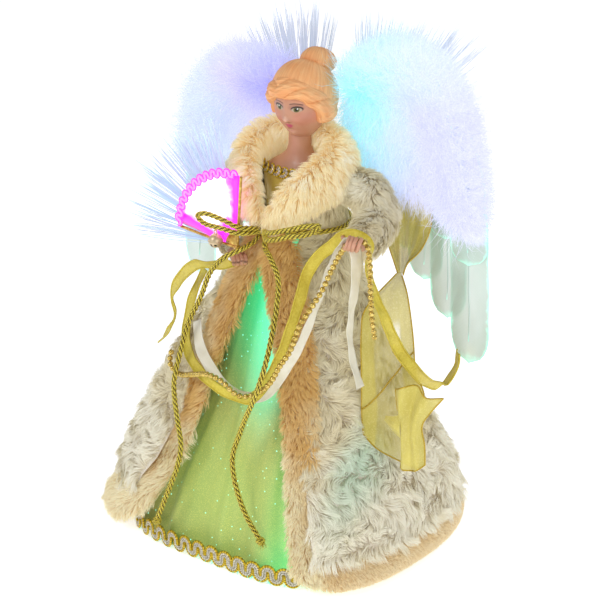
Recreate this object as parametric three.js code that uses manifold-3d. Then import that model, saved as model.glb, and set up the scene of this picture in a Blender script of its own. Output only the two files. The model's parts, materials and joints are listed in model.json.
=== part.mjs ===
// Angel tree topper with fibre-optic wings: a doll in a plush coat on a hollow cone that slips over the top
// shoot of a tree. A lamp, a turning colour wheel and three cells inside the cone feed the fibres.
// Millimetres, +Z up. The figure faces -Y and its left side is +X. The origin is the middle of the base rim.
import * as THREE from "three";
import { mergeVertices } from "three/addons/utils/BufferGeometryUtils.js";
import Module from "manifold-3d";

const wasm = await Module();
wasm.setup();

const GAP = 0.3; // clearance between pieces that touch

// Figure: half sizes of the gown and bodice at three heights
const HEM_Z = 3;
const HEM_HALF_WIDTH = 88;
const HEM_HALF_DEPTH = 83;
const HEM_SQUARENESS = 0.8; // how far the hem's outline departs from an ellipse towards a rectangle
const CORNER_FLARE = 15; // how far the right front corner swings out at the hem
const CORNER_ANGLE = -52; // degrees from the front
const CORNER_SPREAD = 30;
const WAIST_Z = 212;
const WAIST_HALF_WIDTH = 24;
const WAIST_HALF_DEPTH = 20;
const SHOULDER_Z = 250;
const SHOULDER_HALF_WIDTH = 27;
const SHOULDER_HALF_DEPTH = 17;
const CLOTH_WALL = 1.2;
const FOLD_COUNT = 15;
const FOLD_DEPTH = 2.4;

// Support cone, its inside shelf and the tube for the tree's shoot
const RIM_RADIUS = 76;
const RIM_BORE_RADIUS = 66;
const RIM_HEIGHT = 3;
const CONE_TOP_Z = 205;
const CONE_TOP_RADIUS = 18;
const CONE_WALL = 2;
const SPIGOT_RADIUS = 14;
const SHELF_Z = 112;
const SHELF_THICKNESS = 3;
const SHELF_LEDGE = 3;
const TUBE_BOTTOM_Z = 30;
const TUBE_BORE_RADIUS = 15;
const TUBE_WALL = 2;
const TUBE_FLANGE_RADIUS = 22;
const TUBE_FLANGE_HEIGHT = 2;

// Battery box behind the tube
const CELL_RADIUS = 5.2;
const CELL_LENGTH = 44.5;
const CELL_NUB_RADIUS = 1.9;
const CELL_NUB_LENGTH = 0.8;
const CELL_PITCH = 11.4;
const CELL_COUNT = 3;
const BOX_WALL = 1.6;
const COVER_THICKNESS = 1.8;
const SWITCH_WIDTH = 5;
const SWITCH_DEPTH = 3.4;
const SWITCH_TRAVEL = 3;
const SWITCH_HEIGHT = 3;

// Lamp, colour wheel and fibre bundle above the shelf
const LAMP_Y = -8;
const SINK_RADIUS = 6;
const SINK_HEIGHT = 12;
const SINK_FIN_COUNT = 3;
const SINK_FIN_DEPTH = 1.6;
const BOARD_RADIUS = 5.5;
const BOARD_THICKNESS = 1.6;
const LENS_RADIUS = 4.4;
const LENS_HEIGHT = 5.5;
const WHEEL_Y = 9;
const WHEEL_RADIUS = 20.5;
const WHEEL_THICKNESS = 1.4;
const WHEEL_Z = 141;
const WHEEL_HUB_RADIUS = 4;
const WHEEL_HUB_HEIGHT = 7;
const SHAFT_RADIUS = 1.5;
const SHAFT_SEAT = 8;
const MOTOR_RADIUS = 10;
const MOTOR_HEIGHT = 18;
const FRAME_HALF_WIDTH = 22;
const FRAME_POST = 3.5;
const FRAME_DEPTH = 15;
const FRAME_BRIDGE_Z = 150;
const FRAME_BRIDGE = 4;
const BUNDLE_RADIUS = 4;
const FERRULE_WALL = 1.4;
const FERRULE_DROP = 3.5;
const FERRULE_RISE = 15;
const FERRULE_FLANGE = 2;
const LEAD_RADIUS = 1;
const LEAD_X = 12;

// Doll
const NECK_RADIUS = 7.4;
const NECK_Z = 262;
const HEAD_Z = 296;
const HEAD_HALF_WIDTH = 17;
const HEAD_HALF_DEPTH = 18.5;
const HEAD_HALF_HEIGHT = 22.5;
const HEAD_Y = 1;
const HEAD_PITCH = 0.14; // radians that the face looks down
const HAIR_DEPTH = 2.4;
const BUN_RADIUS = 10.5;
const HAND_RADIUS = 6.2;
const WRIST_RADIUS = 4.2;

// Coat, its trims and its collar
const COAT_DEPTH_TOP = 6.6;
const COAT_DEPTH_HEM = 15;
const COAT_BULGE_Z = 48;
const COAT_BULGE = 11; // how far the plush stands out above the hem band
const COAT_FULLNESS = 14; // extra depth of the plush on the figure's right side
const COAT_FULL_ANGLE = -68;
const COAT_FULL_SPREAD = 36;
const COAT_TOP_Z = 252;
const HEM_BAND_HALF_HEIGHT = 9;
const HEM_BAND_HALF_DEPTH = 7;
const TRIM_HALF_WIDTH = 14;
const TRIM_FOOT_HALF_WIDTH = 19;
const TRIM_HALF_DEPTH = 8;
const COLLAR_HALF_WIDTH = 17;
const COLLAR_HALF_DEPTH = 8.5;

// Cords, ribbons and braids
const CORD_RADIUS = 1.7;
const CORD_Z = 219;
const KNOT_RADIUS = 3.6;
const END_KNOT_RADIUS = 3;
const RIBBON_WIDTH = 9;
const IVORY_WIDTH = 7.5;
const RIBBON_THICKNESS = 0.6;
const BEAD_RADIUS = 1.9;
const SCARF_THICKNESS = 0.8;
const SCARF_FOLD = 2.2;
const NECK_BRAID_RADIUS = 2.1;
const HEM_BRAID_HEIGHT = 11;
const HEM_BRAID_DEPTH = 2;

// Fan in the right hand
const FAN_PIVOT = new THREE.Vector3(-11, -48, 208);
const FAN_RADIUS = 48;
const FAN_INNER_RADIUS = 10;
const FAN_FROM = 88; // degrees from +X towards +Z
const FAN_TO = 174;
const FAN_PLEATS = 11;
const FAN_PLEAT_DEPTH = 1.2;
const FAN_LEAF = 0.8;
const FAN_STICK = 2;
const FAN_BRAID_RADIUS = 1.9;
const BELL_RADIUS = 4.6;
const BELL_SLOT = 1;
const BELL_SLOT_DEPTH = 1.6;
const BELL_X = -24;
const BELL_Z = 211.5;

// Wings
const HINGE_X = 14;
const HINGE_Y = 32;
const HUB_Z = 237.5;
const HUB_HALF_WIDTH = 10;
const HUB_HALF_HEIGHT = 14.5;
const HUB_FRONT_Y = 28;
const HUB_DEPTH = 5;
const POST_RADIUS = 6.5;
const PIN_RADIUS = 1.5;
const LUG_RADIUS = 4;
const LUG_HEIGHT = 6;
const BARREL_RADIUS = 3.4;
const WING_FRONT_Y = 28;
const WING_THICKNESS = 2;
const MARABOU_Y = 19;
const MARABOU_HALF_DEPTH = 15;
const FIBRE_RADIUS = 0.45;

const v = (x, y, z) => new THREE.Vector3(x, y, z);
const radians = THREE.MathUtils.degToRad;
const lerp = THREE.MathUtils.lerp;

// Solids: merging, orienting, cutting and joining

function closed(geometry) {
  const bare = geometry.clone();
  bare.deleteAttribute("normal");
  bare.deleteAttribute("uv");
  const merged = mergeVertices(bare, 1e-4);
  const at = (i) => new THREE.Vector3().fromBufferAttribute(merged.attributes.position, i);
  const triangles = [];
  let volume = 0;
  for (let i = 0; i < merged.index.count; i += 3) {
    const [a, b, c] = [0, 1, 2].map((k) => merged.index.getX(i + k));
    if (a === b || b === c || c === a) continue;
    triangles.push([a, b, c]);
    volume += at(a).dot(at(b).cross(at(c)));
  }
  const facing = volume < 0 ? triangles.map(([a, b, c]) => [a, c, b]) : triangles;
  merged.setIndex(facing.flat());
  merged.computeVertexNormals();
  return merged;
}

function asManifold(geometry) {
  const ready = closed(geometry);
  return new wasm.Manifold(
    new wasm.Mesh({
      numProp: 3,
      vertProperties: new Float32Array(ready.attributes.position.array),
      triVerts: new Uint32Array(ready.index.array),
    }),
  );
}

function asGeometry(manifold) {
  const mesh = manifold.getMesh();
  const geometry = new THREE.BufferGeometry();
  geometry.setAttribute("position", new THREE.BufferAttribute(new Float32Array(mesh.vertProperties), 3));
  geometry.setIndex(Array.from(mesh.triVerts));
  geometry.computeVertexNormals();
  return geometry;
}

// The piece with its cutters taken away; slivers that come loose are dropped
function cut(geometry, ...cutters) {
  let solid = asManifold(geometry);
  for (const cutter of cutters) solid = solid.subtract(asManifold(cutter));
  const bodies = solid.decompose().sort((a, b) => b.volume() - a.volume());
  return asGeometry(bodies[0]);
}

function join(...geometries) {
  return asGeometry(geometries.map(asManifold).reduce((all, one) => all.add(one)));
}

// Moves every vertex of a geometry by a function of its place
function warp(geometry, place) {
  const position = geometry.attributes.position;
  const point = new THREE.Vector3();
  for (let i = 0; i < position.count; i++) {
    point.fromBufferAttribute(position, i);
    position.setXYZ(i, ...place(point).toArray());
  }
  return closed(geometry);
}

// A solid of revolution about the vertical line through (x, y)
function turned(profile, segments, x = 0, y = 0) {
  const points = profile.map(([radius, z]) => new THREE.Vector2(radius, z));
  return closed(new THREE.LatheGeometry(points, segments).rotateX(Math.PI / 2).translate(x, y, 0));
}

function rod(radius, from, to, sides, x = 0, y = 0) {
  const shape = [[0, from], [radius, from], [radius, to], [0, to]];
  return turned(shape, sides, x, y);
}

function box(from, to) {
  const size = to.clone().sub(from);
  const middle = from.clone().add(to).multiplyScalar(0.5);
  return new THREE.BoxGeometry(size.x, size.y, size.z).translate(middle.x, middle.y, middle.z);
}

function ball(radius, centre, across = 12, high = 8) {
  return new THREE.SphereGeometry(radius, across, high).translate(centre.x, centre.y, centre.z);
}

function smoothCurve(points) {
  return new THREE.CatmullRomCurve3(points, false, "centripetal");
}

// Bends a unit solid along a curve: its Z becomes the way along, X the way across, and Y the way out
function bent(geometry, curve, outward, shape) {
  return warp(geometry, (p) => {
    const t = THREE.MathUtils.clamp(p.z + 0.5, 0, 1);
    const centre = curve.getPointAt(t);
    const along = curve.getTangentAt(t);
    const across = new THREE.Vector3().crossVectors(along, outward(t, centre)).normalize();
    const out = new THREE.Vector3().crossVectors(across, along).normalize();
    const [a, b] = shape(p.x, p.y, t);
    return centre.addScaledVector(across, a).addScaledVector(out, b);
  });
}

function roundBar(sides, steps) {
  return new THREE.CylinderGeometry(1, 1, 1, sides, steps).rotateX(Math.PI / 2);
}

function strip(columns, steps) {
  return new THREE.BoxGeometry(1, 1, 1, columns, 1, steps);
}

// A constant round section along a curve
function tube(curve, radius, sides, steps) {
  const section = new THREE.Shape();
  section.absarc(0, 0, radius, 0, 2 * Math.PI);
  return new THREE.ExtrudeGeometry(section, {
    extrudePath: curve,
    steps,
    curveSegments: sides / 2,
    bevelEnabled: false,
  });
}

// Radius factor that rounds both ends of a roll over a share of its length
function roundedEnds(t, share) {
  const near = Math.min(t, 1 - t);
  const missing = Math.max(0, 1 - near / share);
  return Math.sqrt(1 - 0.94 * missing * missing);
}

const fromAxis = (t, point) => v(point.x, point.y, 0);

// The figure's outer surface, by height and by angle from the front towards the figure's left

function halfSizes(z) {
  const down = THREE.MathUtils.clamp((WAIST_Z - z) / (WAIST_Z - HEM_Z), 0, 1);
  const up = THREE.MathUtils.clamp((z - WAIST_Z) / (SHOULDER_Z - WAIST_Z), 0, 1);
  const far = down > 0 ? [HEM_HALF_WIDTH, HEM_HALF_DEPTH] : [SHOULDER_HALF_WIDTH, SHOULDER_HALF_DEPTH];
  const share = down > 0 ? down : up;
  return {
    width: lerp(WAIST_HALF_WIDTH, far[0], share),
    depth: lerp(WAIST_HALF_DEPTH, far[1], share),
    power: 2 + HEM_SQUARENESS * down,
    down,
  };
}

function cornerFlare(angle, down) {
  const turn = angle - radians(CORNER_ANGLE) + Math.PI;
  const away = THREE.MathUtils.euclideanModulo(turn, 2 * Math.PI) - Math.PI;
  return CORNER_FLARE * down * Math.exp(-((away / radians(CORNER_SPREAD)) ** 2));
}

function onFigure(angle, z, offset) {
  const { width, depth, power, down } = halfSizes(z);
  const [s, c] = [Math.sin(angle), Math.cos(angle)];
  const plain = (Math.abs(s / width) ** power + Math.abs(c / depth) ** power) ** (-1 / power);
  const radius = plain + cornerFlare(angle, down) + offset;
  return v(radius * s, -radius * c, z);
}

const foldAt = (angle, z) => FOLD_DEPTH * halfSizes(z).down * Math.cos(FOLD_COUNT * angle);
const foldPeak = (z) => FOLD_DEPTH * halfSizes(z).down;

// A ring of cloth on the figure. Rows are [height, inner offset, outer offset], from the bottom up.
const RING_BASE = 100;
function clothRing(rows, segments, extra) {
  const outer = rows.map(([z, , out]) => [RING_BASE + out, z]);
  const inner = rows.map(([z, into]) => [RING_BASE + into, z]).reverse();
  const profile = [...outer, ...inner, outer[0]];
  return warp(turned(profile, segments), (p) => {
    const angle = Math.atan2(p.x, -p.y);
    const offset = Math.hypot(p.x, p.y) - RING_BASE;
    return onFigure(angle, p.z, offset + extra(angle, p.z, offset));
  });
}

// A filled solid of the figure's outline between two heights
const BODY_SEGMENTS = 24;
function figureBlock(from, to, offset) {
  const rows = [...new Set([from, Math.max(from, WAIST_Z), to])];
  const profile = [[0, from], ...rows.map((z) => [1, z]), [0, to]];
  return warp(turned(profile, BODY_SEGMENTS), (p) => {
    const share = Math.hypot(p.x, p.y);
    const place = onFigure(Math.atan2(p.x, -p.y), p.z, offset);
    return v(place.x * share, place.y * share, p.z);
  });
}

// The scene graph

const angel = new THREE.Group();

function finish(colour, roughness, metalness = 0) {
  return new THREE.MeshStandardMaterial({ color: colour, roughness, metalness });
}
const WHITE_PLASTIC = finish(0xe9e7e0, 0.5);
const BLACK_PLASTIC = finish(0x2a2a2c, 0.55);
const CLEAR_PLASTIC = finish(0xe8f4f2, 0.1);
const STEEL = finish(0xb9bcc0, 0.35, 1);
const ALUMINIUM = finish(0xc4c6c8, 0.4, 1);
const GREEN_BOARD = finish(0x2f6b3c, 0.5);
const CELL_SKIN = finish(0x4a4f57, 0.35, 0.4);
const SKIN = finish(0xc08a72, 0.5);
const HAIR = finish(0xdc9a5c, 0.55);
const GOLD_SATIN = finish(0xd9b254, 0.35);
const GOLD_TRIM = finish(0xc9a04a, 0.35, 0.7);
const ORGANZA = finish(0xb7d69a, 0.45);
const WHITE_PLUSH = finish(0xf1ece0, 0.95);
const BEIGE_FUR = finish(0xdcc7a6, 0.95);
const IVORY_SATIN = finish(0xf3ead6, 0.4);
const FILM = finish(0xbfe0d2, 0.2);
const DOWN = finish(0xe6effa, 0.95);
const FIBRE = finish(0xcfe8ff, 0.2);
const FAN_CLOTH = finish(0xf0a8e6, 0.6);

function add(name, geometry, material) {
  const mesh = new THREE.Mesh(closed(geometry), material);
  mesh.name = name;
  angel.add(mesh);
}

// Support cone, shelf and tree tube

const coneRadius = (z) => lerp(RIM_RADIUS, CONE_TOP_RADIUS, (z - RIM_HEIGHT) / (CONE_TOP_Z - RIM_HEIGHT));
const coneBore = (z) => coneRadius(z) - CONE_WALL;
const shelfRadius = coneBore(SHELF_Z + SHELF_THICKNESS) - GAP;
const shelfTop = SHELF_Z + SHELF_THICKNESS;

function supportCone() {
  const ledgeBore = shelfRadius - SHELF_LEDGE;
  const ledgeTop = SHELF_Z - GAP;
  const crownBottom = CONE_TOP_Z - RIM_HEIGHT;
  return turned(
    [
      [RIM_BORE_RADIUS, 0],
      [RIM_RADIUS, 0],
      [RIM_RADIUS, RIM_HEIGHT],
      [CONE_TOP_RADIUS, CONE_TOP_Z],
      [SPIGOT_RADIUS + GAP, CONE_TOP_Z],
      [SPIGOT_RADIUS + GAP, crownBottom],
      [coneBore(crownBottom), crownBottom],
      [coneBore(ledgeTop), ledgeTop],
      [ledgeBore, ledgeTop],
      [ledgeBore, ledgeTop - SHELF_LEDGE],
      [coneBore(ledgeTop - SHELF_LEDGE), ledgeTop - SHELF_LEDGE],
      [coneBore(RIM_HEIGHT), RIM_HEIGHT],
      [RIM_BORE_RADIUS, RIM_HEIGHT],
      [RIM_BORE_RADIUS, 0],
    ],
    28,
  );
}

function treeTube() {
  const top = SHELF_Z - GAP;
  const outer = TUBE_BORE_RADIUS + TUBE_WALL;
  return turned(
    [
      [TUBE_BORE_RADIUS, TUBE_BOTTOM_Z],
      [outer, TUBE_BOTTOM_Z],
      [outer, top - TUBE_FLANGE_HEIGHT],
      [TUBE_FLANGE_RADIUS, top - TUBE_FLANGE_HEIGHT],
      [TUBE_FLANGE_RADIUS, top],
      [TUBE_BORE_RADIUS, top],
      [TUBE_BORE_RADIUS, TUBE_BOTTOM_Z],
    ],
    20,
  );
}

// Battery box, hung under the shelf behind the tree tube

const cellsWide = CELL_PITCH * (CELL_COUNT - 1) + 2 * CELL_RADIUS;
const boxFront = TUBE_FLANGE_RADIUS + GAP;
const cavityFront = boxFront + BOX_WALL;
const cavityBack = cavityFront + 2 * (CELL_RADIUS + GAP);
const cavityHalf = cellsWide / 2 + GAP;
const cavityTop = SHELF_Z - GAP - BOX_WALL;
const cavityBottom = cavityTop - CELL_LENGTH - 2 * GAP;
const boxBottom = cavityBottom - BOX_WALL;
const boxHalf = cavityHalf + BOX_WALL;
const coverBack = cavityBack + GAP + COVER_THICKNESS;
const switchY = (boxFront + cavityBack) / 2;
const leadY = boxFront - LEAD_RADIUS - 2 * GAP;

function batteryBox() {
  const body = box(v(-boxHalf, boxFront, boxBottom), v(boxHalf, cavityBack, SHELF_Z - GAP));
  const cavity = box(v(-cavityHalf, cavityFront, cavityBottom), v(cavityHalf, cavityBack + 1, cavityTop));
  const half = SWITCH_WIDTH / 2 + GAP;
  const slot = box(
    v(-half, switchY - SWITCH_DEPTH / 2 - GAP, boxBottom - 1),
    v(half + SWITCH_TRAVEL, switchY + SWITCH_DEPTH / 2 + GAP, cavityBottom - BOX_WALL / 4),
  );
  return cut(body, cavity, slot);
}

function batteryCell(x) {
  const bottom = cavityBottom + GAP;
  const body = bottom + CELL_LENGTH - CELL_NUB_LENGTH;
  const profile = [
    [0, bottom],
    [CELL_RADIUS, bottom],
    [CELL_RADIUS, body],
    [CELL_NUB_RADIUS, body],
    [CELL_NUB_RADIUS, body + CELL_NUB_LENGTH],
    [0, body + CELL_NUB_LENGTH],
  ];
  return turned(profile, 14, x, cavityFront + CELL_RADIUS + GAP);
}

function batteryCover() {
  const front = cavityBack + GAP;
  const plate = box(v(-boxHalf, front, boxBottom), v(boxHalf, front + COVER_THICKNESS, SHELF_Z - 2 * GAP));
  const grip = box(
    v(-boxHalf / 2, front + COVER_THICKNESS / 2, boxBottom + BOX_WALL),
    v(boxHalf / 2, front + 2 * COVER_THICKNESS, boxBottom + 2 * BOX_WALL),
  );
  return join(plate, grip);
}

function switchKnob() {
  const half = SWITCH_WIDTH / 2;
  const top = cavityBottom - BOX_WALL / 4 - GAP;
  const from = v(-half, switchY - SWITCH_DEPTH / 2, boxBottom - SWITCH_HEIGHT);
  return box(from, v(half, switchY + SWITCH_DEPTH / 2, top));
}

// The cone's ledge is notched where the battery box passes it
const ledgeNotch = box(
  v(-boxHalf - 1, boxFront, SHELF_Z - 2 * SHELF_LEDGE),
  v(boxHalf + 1, coverBack + GAP, SHELF_Z - GAP / 2),
);
const leadHole = rod(LEAD_RADIUS + GAP, SHELF_Z - 1, shelfTop + 1, 10, LEAD_X, leadY);
add("support_cone", cut(supportCone(), ledgeNotch), WHITE_PLASTIC);
add("shelf", cut(rod(shelfRadius, SHELF_Z, shelfTop, 36), leadHole), WHITE_PLASTIC);
add("tree_tube", treeTube(), WHITE_PLASTIC);
add("battery_box", batteryBox(), BLACK_PLASTIC);
for (let i = 0; i < CELL_COUNT; i++) {
  add(`battery_cell_${i + 1}`, batteryCell((i - (CELL_COUNT - 1) / 2) * CELL_PITCH), CELL_SKIN);
}
add("battery_cover", batteryCover(), BLACK_PLASTIC);
add("switch_knob", switchKnob(), WHITE_PLASTIC);

// Lamp, motor and colour wheel on the shelf

const seat = shelfTop + GAP;
const boardBottom = seat + SINK_HEIGHT + GAP;
const lensBottom = boardBottom + BOARD_THICKNESS + GAP;
const motorTop = seat + MOTOR_HEIGHT;
const hubBottom = WHEEL_Z - WHEEL_HUB_HEIGHT / 2;
const hubTop = WHEEL_Z + WHEEL_HUB_HEIGHT / 2;

function heatSink() {
  const pitch = SINK_HEIGHT / (2 * SINK_FIN_COUNT);
  const profile = [[0, seat]];
  for (let i = 0; i < 2 * SINK_FIN_COUNT; i++) {
    const radius = i % 2 ? SINK_RADIUS - SINK_FIN_DEPTH : SINK_RADIUS;
    profile.push([radius, seat + i * pitch], [radius, seat + (i + 1) * pitch]);
  }
  profile.push([0, seat + SINK_HEIGHT]);
  return turned(profile, 14, 0, LAMP_Y);
}

function lampLens() {
  const profile = [[0, lensBottom]];
  for (let i = 0; i <= 4; i++) {
    const angle = (i / 4) * (Math.PI / 2);
    profile.push([LENS_RADIUS * Math.cos(angle), lensBottom + LENS_HEIGHT * Math.sin(angle)]);
  }
  return turned(profile, 16, 0, LAMP_Y);
}

function gearMotor() {
  const socket = rod(SHAFT_RADIUS + GAP, motorTop - SHAFT_SEAT, motorTop + 1, 12, 0, WHEEL_Y);
  return cut(rod(MOTOR_RADIUS, seat, motorTop, 24, 0, WHEEL_Y), socket);
}

function colourWheel() {
  const bore = SHAFT_RADIUS + GAP;
  const profile = [
    [bore, hubBottom],
    [WHEEL_HUB_RADIUS, hubBottom],
    [WHEEL_HUB_RADIUS, WHEEL_Z],
    [WHEEL_RADIUS, WHEEL_Z],
    [WHEEL_RADIUS, WHEEL_Z + WHEEL_THICKNESS],
    [WHEEL_HUB_RADIUS, WHEEL_Z + WHEEL_THICKNESS],
    [WHEEL_HUB_RADIUS, hubTop],
    [bore, hubTop],
    [bore, hubBottom],
  ];
  return turned(profile, 24, 0, WHEEL_Y);
}

// An arch that carries the ferrule over the lamp
function lampFrame() {
  const outer = new THREE.Shape();
  const top = FRAME_BRIDGE_Z + FRAME_BRIDGE;
  outer.moveTo(-FRAME_HALF_WIDTH, seat);
  outer.lineTo(-FRAME_HALF_WIDTH, top);
  outer.lineTo(FRAME_HALF_WIDTH, top);
  outer.lineTo(FRAME_HALF_WIDTH, seat);
  outer.lineTo(FRAME_HALF_WIDTH - FRAME_POST, seat);
  outer.lineTo(FRAME_HALF_WIDTH - FRAME_POST, FRAME_BRIDGE_Z);
  outer.lineTo(FRAME_POST - FRAME_HALF_WIDTH, FRAME_BRIDGE_Z);
  outer.lineTo(FRAME_POST - FRAME_HALF_WIDTH, seat);
  const arch = new THREE.ExtrudeGeometry(outer, { depth: FRAME_DEPTH, bevelEnabled: false });
  arch.rotateX(Math.PI / 2).translate(0, LAMP_Y + FRAME_DEPTH / 2, 0);
  const hole = rod(BUNDLE_RADIUS + FERRULE_WALL + 2 * GAP, FRAME_BRIDGE_Z - 1, top + 1, 16, 0, LAMP_Y);
  return cut(arch, hole);
}

function ferrule() {
  const bore = BUNDLE_RADIUS + GAP;
  const outer = bore + FERRULE_WALL;
  const bridgeTop = FRAME_BRIDGE_Z + FRAME_BRIDGE + GAP;
  const profile = [
    [bore, FRAME_BRIDGE_Z - FERRULE_DROP],
    [outer, FRAME_BRIDGE_Z - FERRULE_DROP],
    [outer, bridgeTop],
    [outer + FERRULE_FLANGE, bridgeTop],
    [outer + FERRULE_FLANGE, bridgeTop + FERRULE_FLANGE],
    [outer, bridgeTop + FERRULE_FLANGE],
    [outer, bridgeTop + FERRULE_RISE],
    [bore, bridgeTop + FERRULE_RISE],
    [bore, FRAME_BRIDGE_Z - FERRULE_DROP],
  ];
  return turned(profile, 12, 0, LAMP_Y);
}

// The bundle climbs from the ferrule through the torso and out of the back into the wing hub
const bundleRun = smoothCurve([
  v(0, LAMP_Y, FRAME_BRIDGE_Z - FERRULE_DROP + GAP),
  v(0, LAMP_Y, FRAME_BRIDGE_Z + FERRULE_RISE),
  v(0, LAMP_Y, FRAME_BRIDGE_Z + FERRULE_RISE + 10),
  v(0, -2, CONE_TOP_Z - 10),
  v(0, 0, HUB_Z - 22),
  v(0, 6, HUB_Z - 4),
  v(0, 16, HUB_Z),
  v(0, HUB_FRONT_Y + HUB_DEPTH / 2, HUB_Z),
]);
const leadRun = smoothCurve([
  v(LEAD_X, leadY, SHELF_Z - 16),
  v(LEAD_X, leadY, SHELF_Z - 8),
  v(LEAD_X, leadY, shelfTop + 1),
  v(LEAD_X, leadY - 1, shelfTop + 5),
  v(LEAD_X, leadY - 8, boardBottom - 4),
  v(LEAD_X - 1, LAMP_Y + 4, boardBottom + BOARD_THICKNESS / 2),
  v(BOARD_RADIUS + 2 * GAP, LAMP_Y, boardBottom + BOARD_THICKNESS / 2),
]);
const bundle = tube(bundleRun, BUNDLE_RADIUS, 8, 16);
const bundleHole = tube(bundleRun, BUNDLE_RADIUS + 2 * GAP, 8, 16);

add("heat_sink", heatSink(), ALUMINIUM);
add("lamp_board", rod(BOARD_RADIUS, boardBottom, boardBottom + BOARD_THICKNESS, 16, 0, LAMP_Y), GREEN_BOARD);
add("lamp_lens", lampLens(), CLEAR_PLASTIC);
add("gear_motor", gearMotor(), STEEL);
add("wheel_shaft", rod(SHAFT_RADIUS, motorTop - SHAFT_SEAT + GAP, hubTop, 12, 0, WHEEL_Y), STEEL);
add("colour_wheel", colourWheel(), CLEAR_PLASTIC);
add("lamp_frame", lampFrame(), WHITE_PLASTIC);
add("fibre_ferrule", ferrule(), ALUMINIUM);
add("fibre_bundle", bundle, BLACK_PLASTIC);
add("lamp_lead", tube(leadRun, LEAD_RADIUS, 6, 14), BLACK_PLASTIC);

// Doll: torso on the cone, shoulder plate with neck and head, moulded hair, hands

const torsoTop = SHOULDER_Z - GAP;
const torsoInset = CLOTH_WALL + 3 * GAP;
const headTilt = new THREE.Matrix4()
  .makeTranslation(0, HEAD_Y, HEAD_Z)
  .multiply(new THREE.Matrix4().makeRotationX(HEAD_PITCH));

function torso() {
  const block = figureBlock(CONE_TOP_Z + GAP, torsoTop, -torsoInset);
  const spigot = rod(SPIGOT_RADIUS, CONE_TOP_Z - 2 * RIM_HEIGHT, CONE_TOP_Z + 1, 20);
  return cut(join(block, spigot), bundleHole);
}

// An egg-shaped head: the face narrows to the chin
function skull(grow) {
  const egg = new THREE.SphereGeometry(1, 16, 12).rotateX(Math.PI / 2);
  const shaped = warp(egg, (p) => {
    const taper = 1 - 0.24 * Math.max(0, -p.z) ** 1.5;
    return v(
      p.x * (HEAD_HALF_WIDTH * taper + grow),
      p.y * (HEAD_HALF_DEPTH * taper + grow) - 2 * Math.max(0, -p.z),
      p.z * (HEAD_HALF_HEIGHT + grow),
    );
  });
  return shaped.applyMatrix4(headTilt);
}

function shoulderPlate(grow) {
  const bottom = SHOULDER_Z + GAP - grow;
  const slope = [[1, bottom], [0.86, bottom + 3], [0.58, bottom + 7]];
  const width = SHOULDER_HALF_WIDTH - torsoInset - GAP;
  const depth = SHOULDER_HALF_DEPTH - torsoInset - GAP;
  const plate = warp(turned([[0, bottom], ...slope, [0.3, NECK_Z], [0, NECK_Z]], 24), (p) =>
    v(p.x * (width + grow), p.y * (depth + grow), p.z + grow),
  );
  return join(plate, rod(NECK_RADIUS + grow, bottom + 2, HEAD_Z - 5, 14));
}

function head(grow) {
  const nose = new THREE.ConeGeometry(2.4, 6, 6).rotateX(-0.35).translate(0, -HEAD_HALF_DEPTH, -2);
  return join(skull(grow), shoulderPlate(grow), nose.applyMatrix4(headTilt));
}

// The hair is a cap round the face with a bun on the crown
function hair(grow) {
  const cap = new THREE.SphereGeometry(1, 16, 10).rotateX(Math.PI / 2);
  const stand = HAIR_DEPTH + grow;
  cap.scale(HEAD_HALF_WIDTH + stand, HEAD_HALF_DEPTH + stand, HEAD_HALF_HEIGHT + grow);
  cap.translate(0, 1.5, 1.5).applyMatrix4(headTilt);
  const bun = ball(BUN_RADIUS + grow, v(0, 13, HEAD_HALF_HEIGHT - 2), 10, 6).applyMatrix4(headTilt);
  const face = new THREE.SphereGeometry(1, 12, 8).scale(HEAD_HALF_WIDTH - 2, 16, HEAD_HALF_HEIGHT);
  face.translate(0, -HEAD_HALF_DEPTH - 1, -7).applyMatrix4(headTilt);
  const below = box(v(-40, -60, 240), v(40, 60, HEAD_Z - 13));
  return cut(join(cap, bun), face, below);
}

add("torso", torso(), WHITE_PLASTIC);
add("head", head(0), SKIN);
add("hair", cut(hair(0), head(GAP)), HAIR);

// Gown: bodice, skirt with its folds, neckline and hem braids

const noExtra = () => 0;
const bodiceRows = [WAIST_Z + GAP, (WAIST_Z + SHOULDER_Z) / 2, SHOULDER_Z];
const skirtRows = [0, 0.5, 1].map((share) => lerp(HEM_Z, WAIST_Z, share));
const neckBraidZ = SHOULDER_Z + NECK_BRAID_RADIUS + GAP;

function neckBraid(grow) {
  const ring = new THREE.TorusGeometry(RING_BASE, NECK_BRAID_RADIUS + grow, 6, BODY_SEGMENTS);
  return warp(ring, (p) => {
    const offset = Math.hypot(p.x, p.y) - RING_BASE - NECK_BRAID_RADIUS / 2;
    return onFigure(Math.atan2(p.x, -p.y), SHOULDER_Z, offset).setZ(p.z + neckBraidZ);
  });
}

function hemBraid() {
  const reach = radians(44);
  const across = (t) => lerp(-reach, reach, t);
  const middle = HEM_Z + HEM_BRAID_HEIGHT / 2;
  const offset = foldPeak(HEM_Z) + 2 * GAP + HEM_BRAID_DEPTH / 2;
  const points = Array.from({ length: 13 }, (_, i) => onFigure(across(i / 12), HEM_Z, offset).setZ(middle));
  return bent(strip(1, 20), smoothCurve(points), fromAxis, (a, b) => [
    a * HEM_BRAID_HEIGHT,
    b * HEM_BRAID_DEPTH,
  ]);
}

const bodice = clothRing(bodiceRows.map((z) => [z, -CLOTH_WALL, 0]), BODY_SEGMENTS, noExtra);
add("bodice", cut(bodice, bundleHole), GOLD_SATIN);
add("neckline_braid", cut(neckBraid(0), head(GAP)), GOLD_TRIM);
add("gown_skirt", clothRing(skirtRows.map((z) => [z, -CLOTH_WALL, 0]), 4 * FOLD_COUNT, foldAt), ORGANZA);

// Coat: two front trims, hem band, collar, sleeves and the plush shell between them

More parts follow.
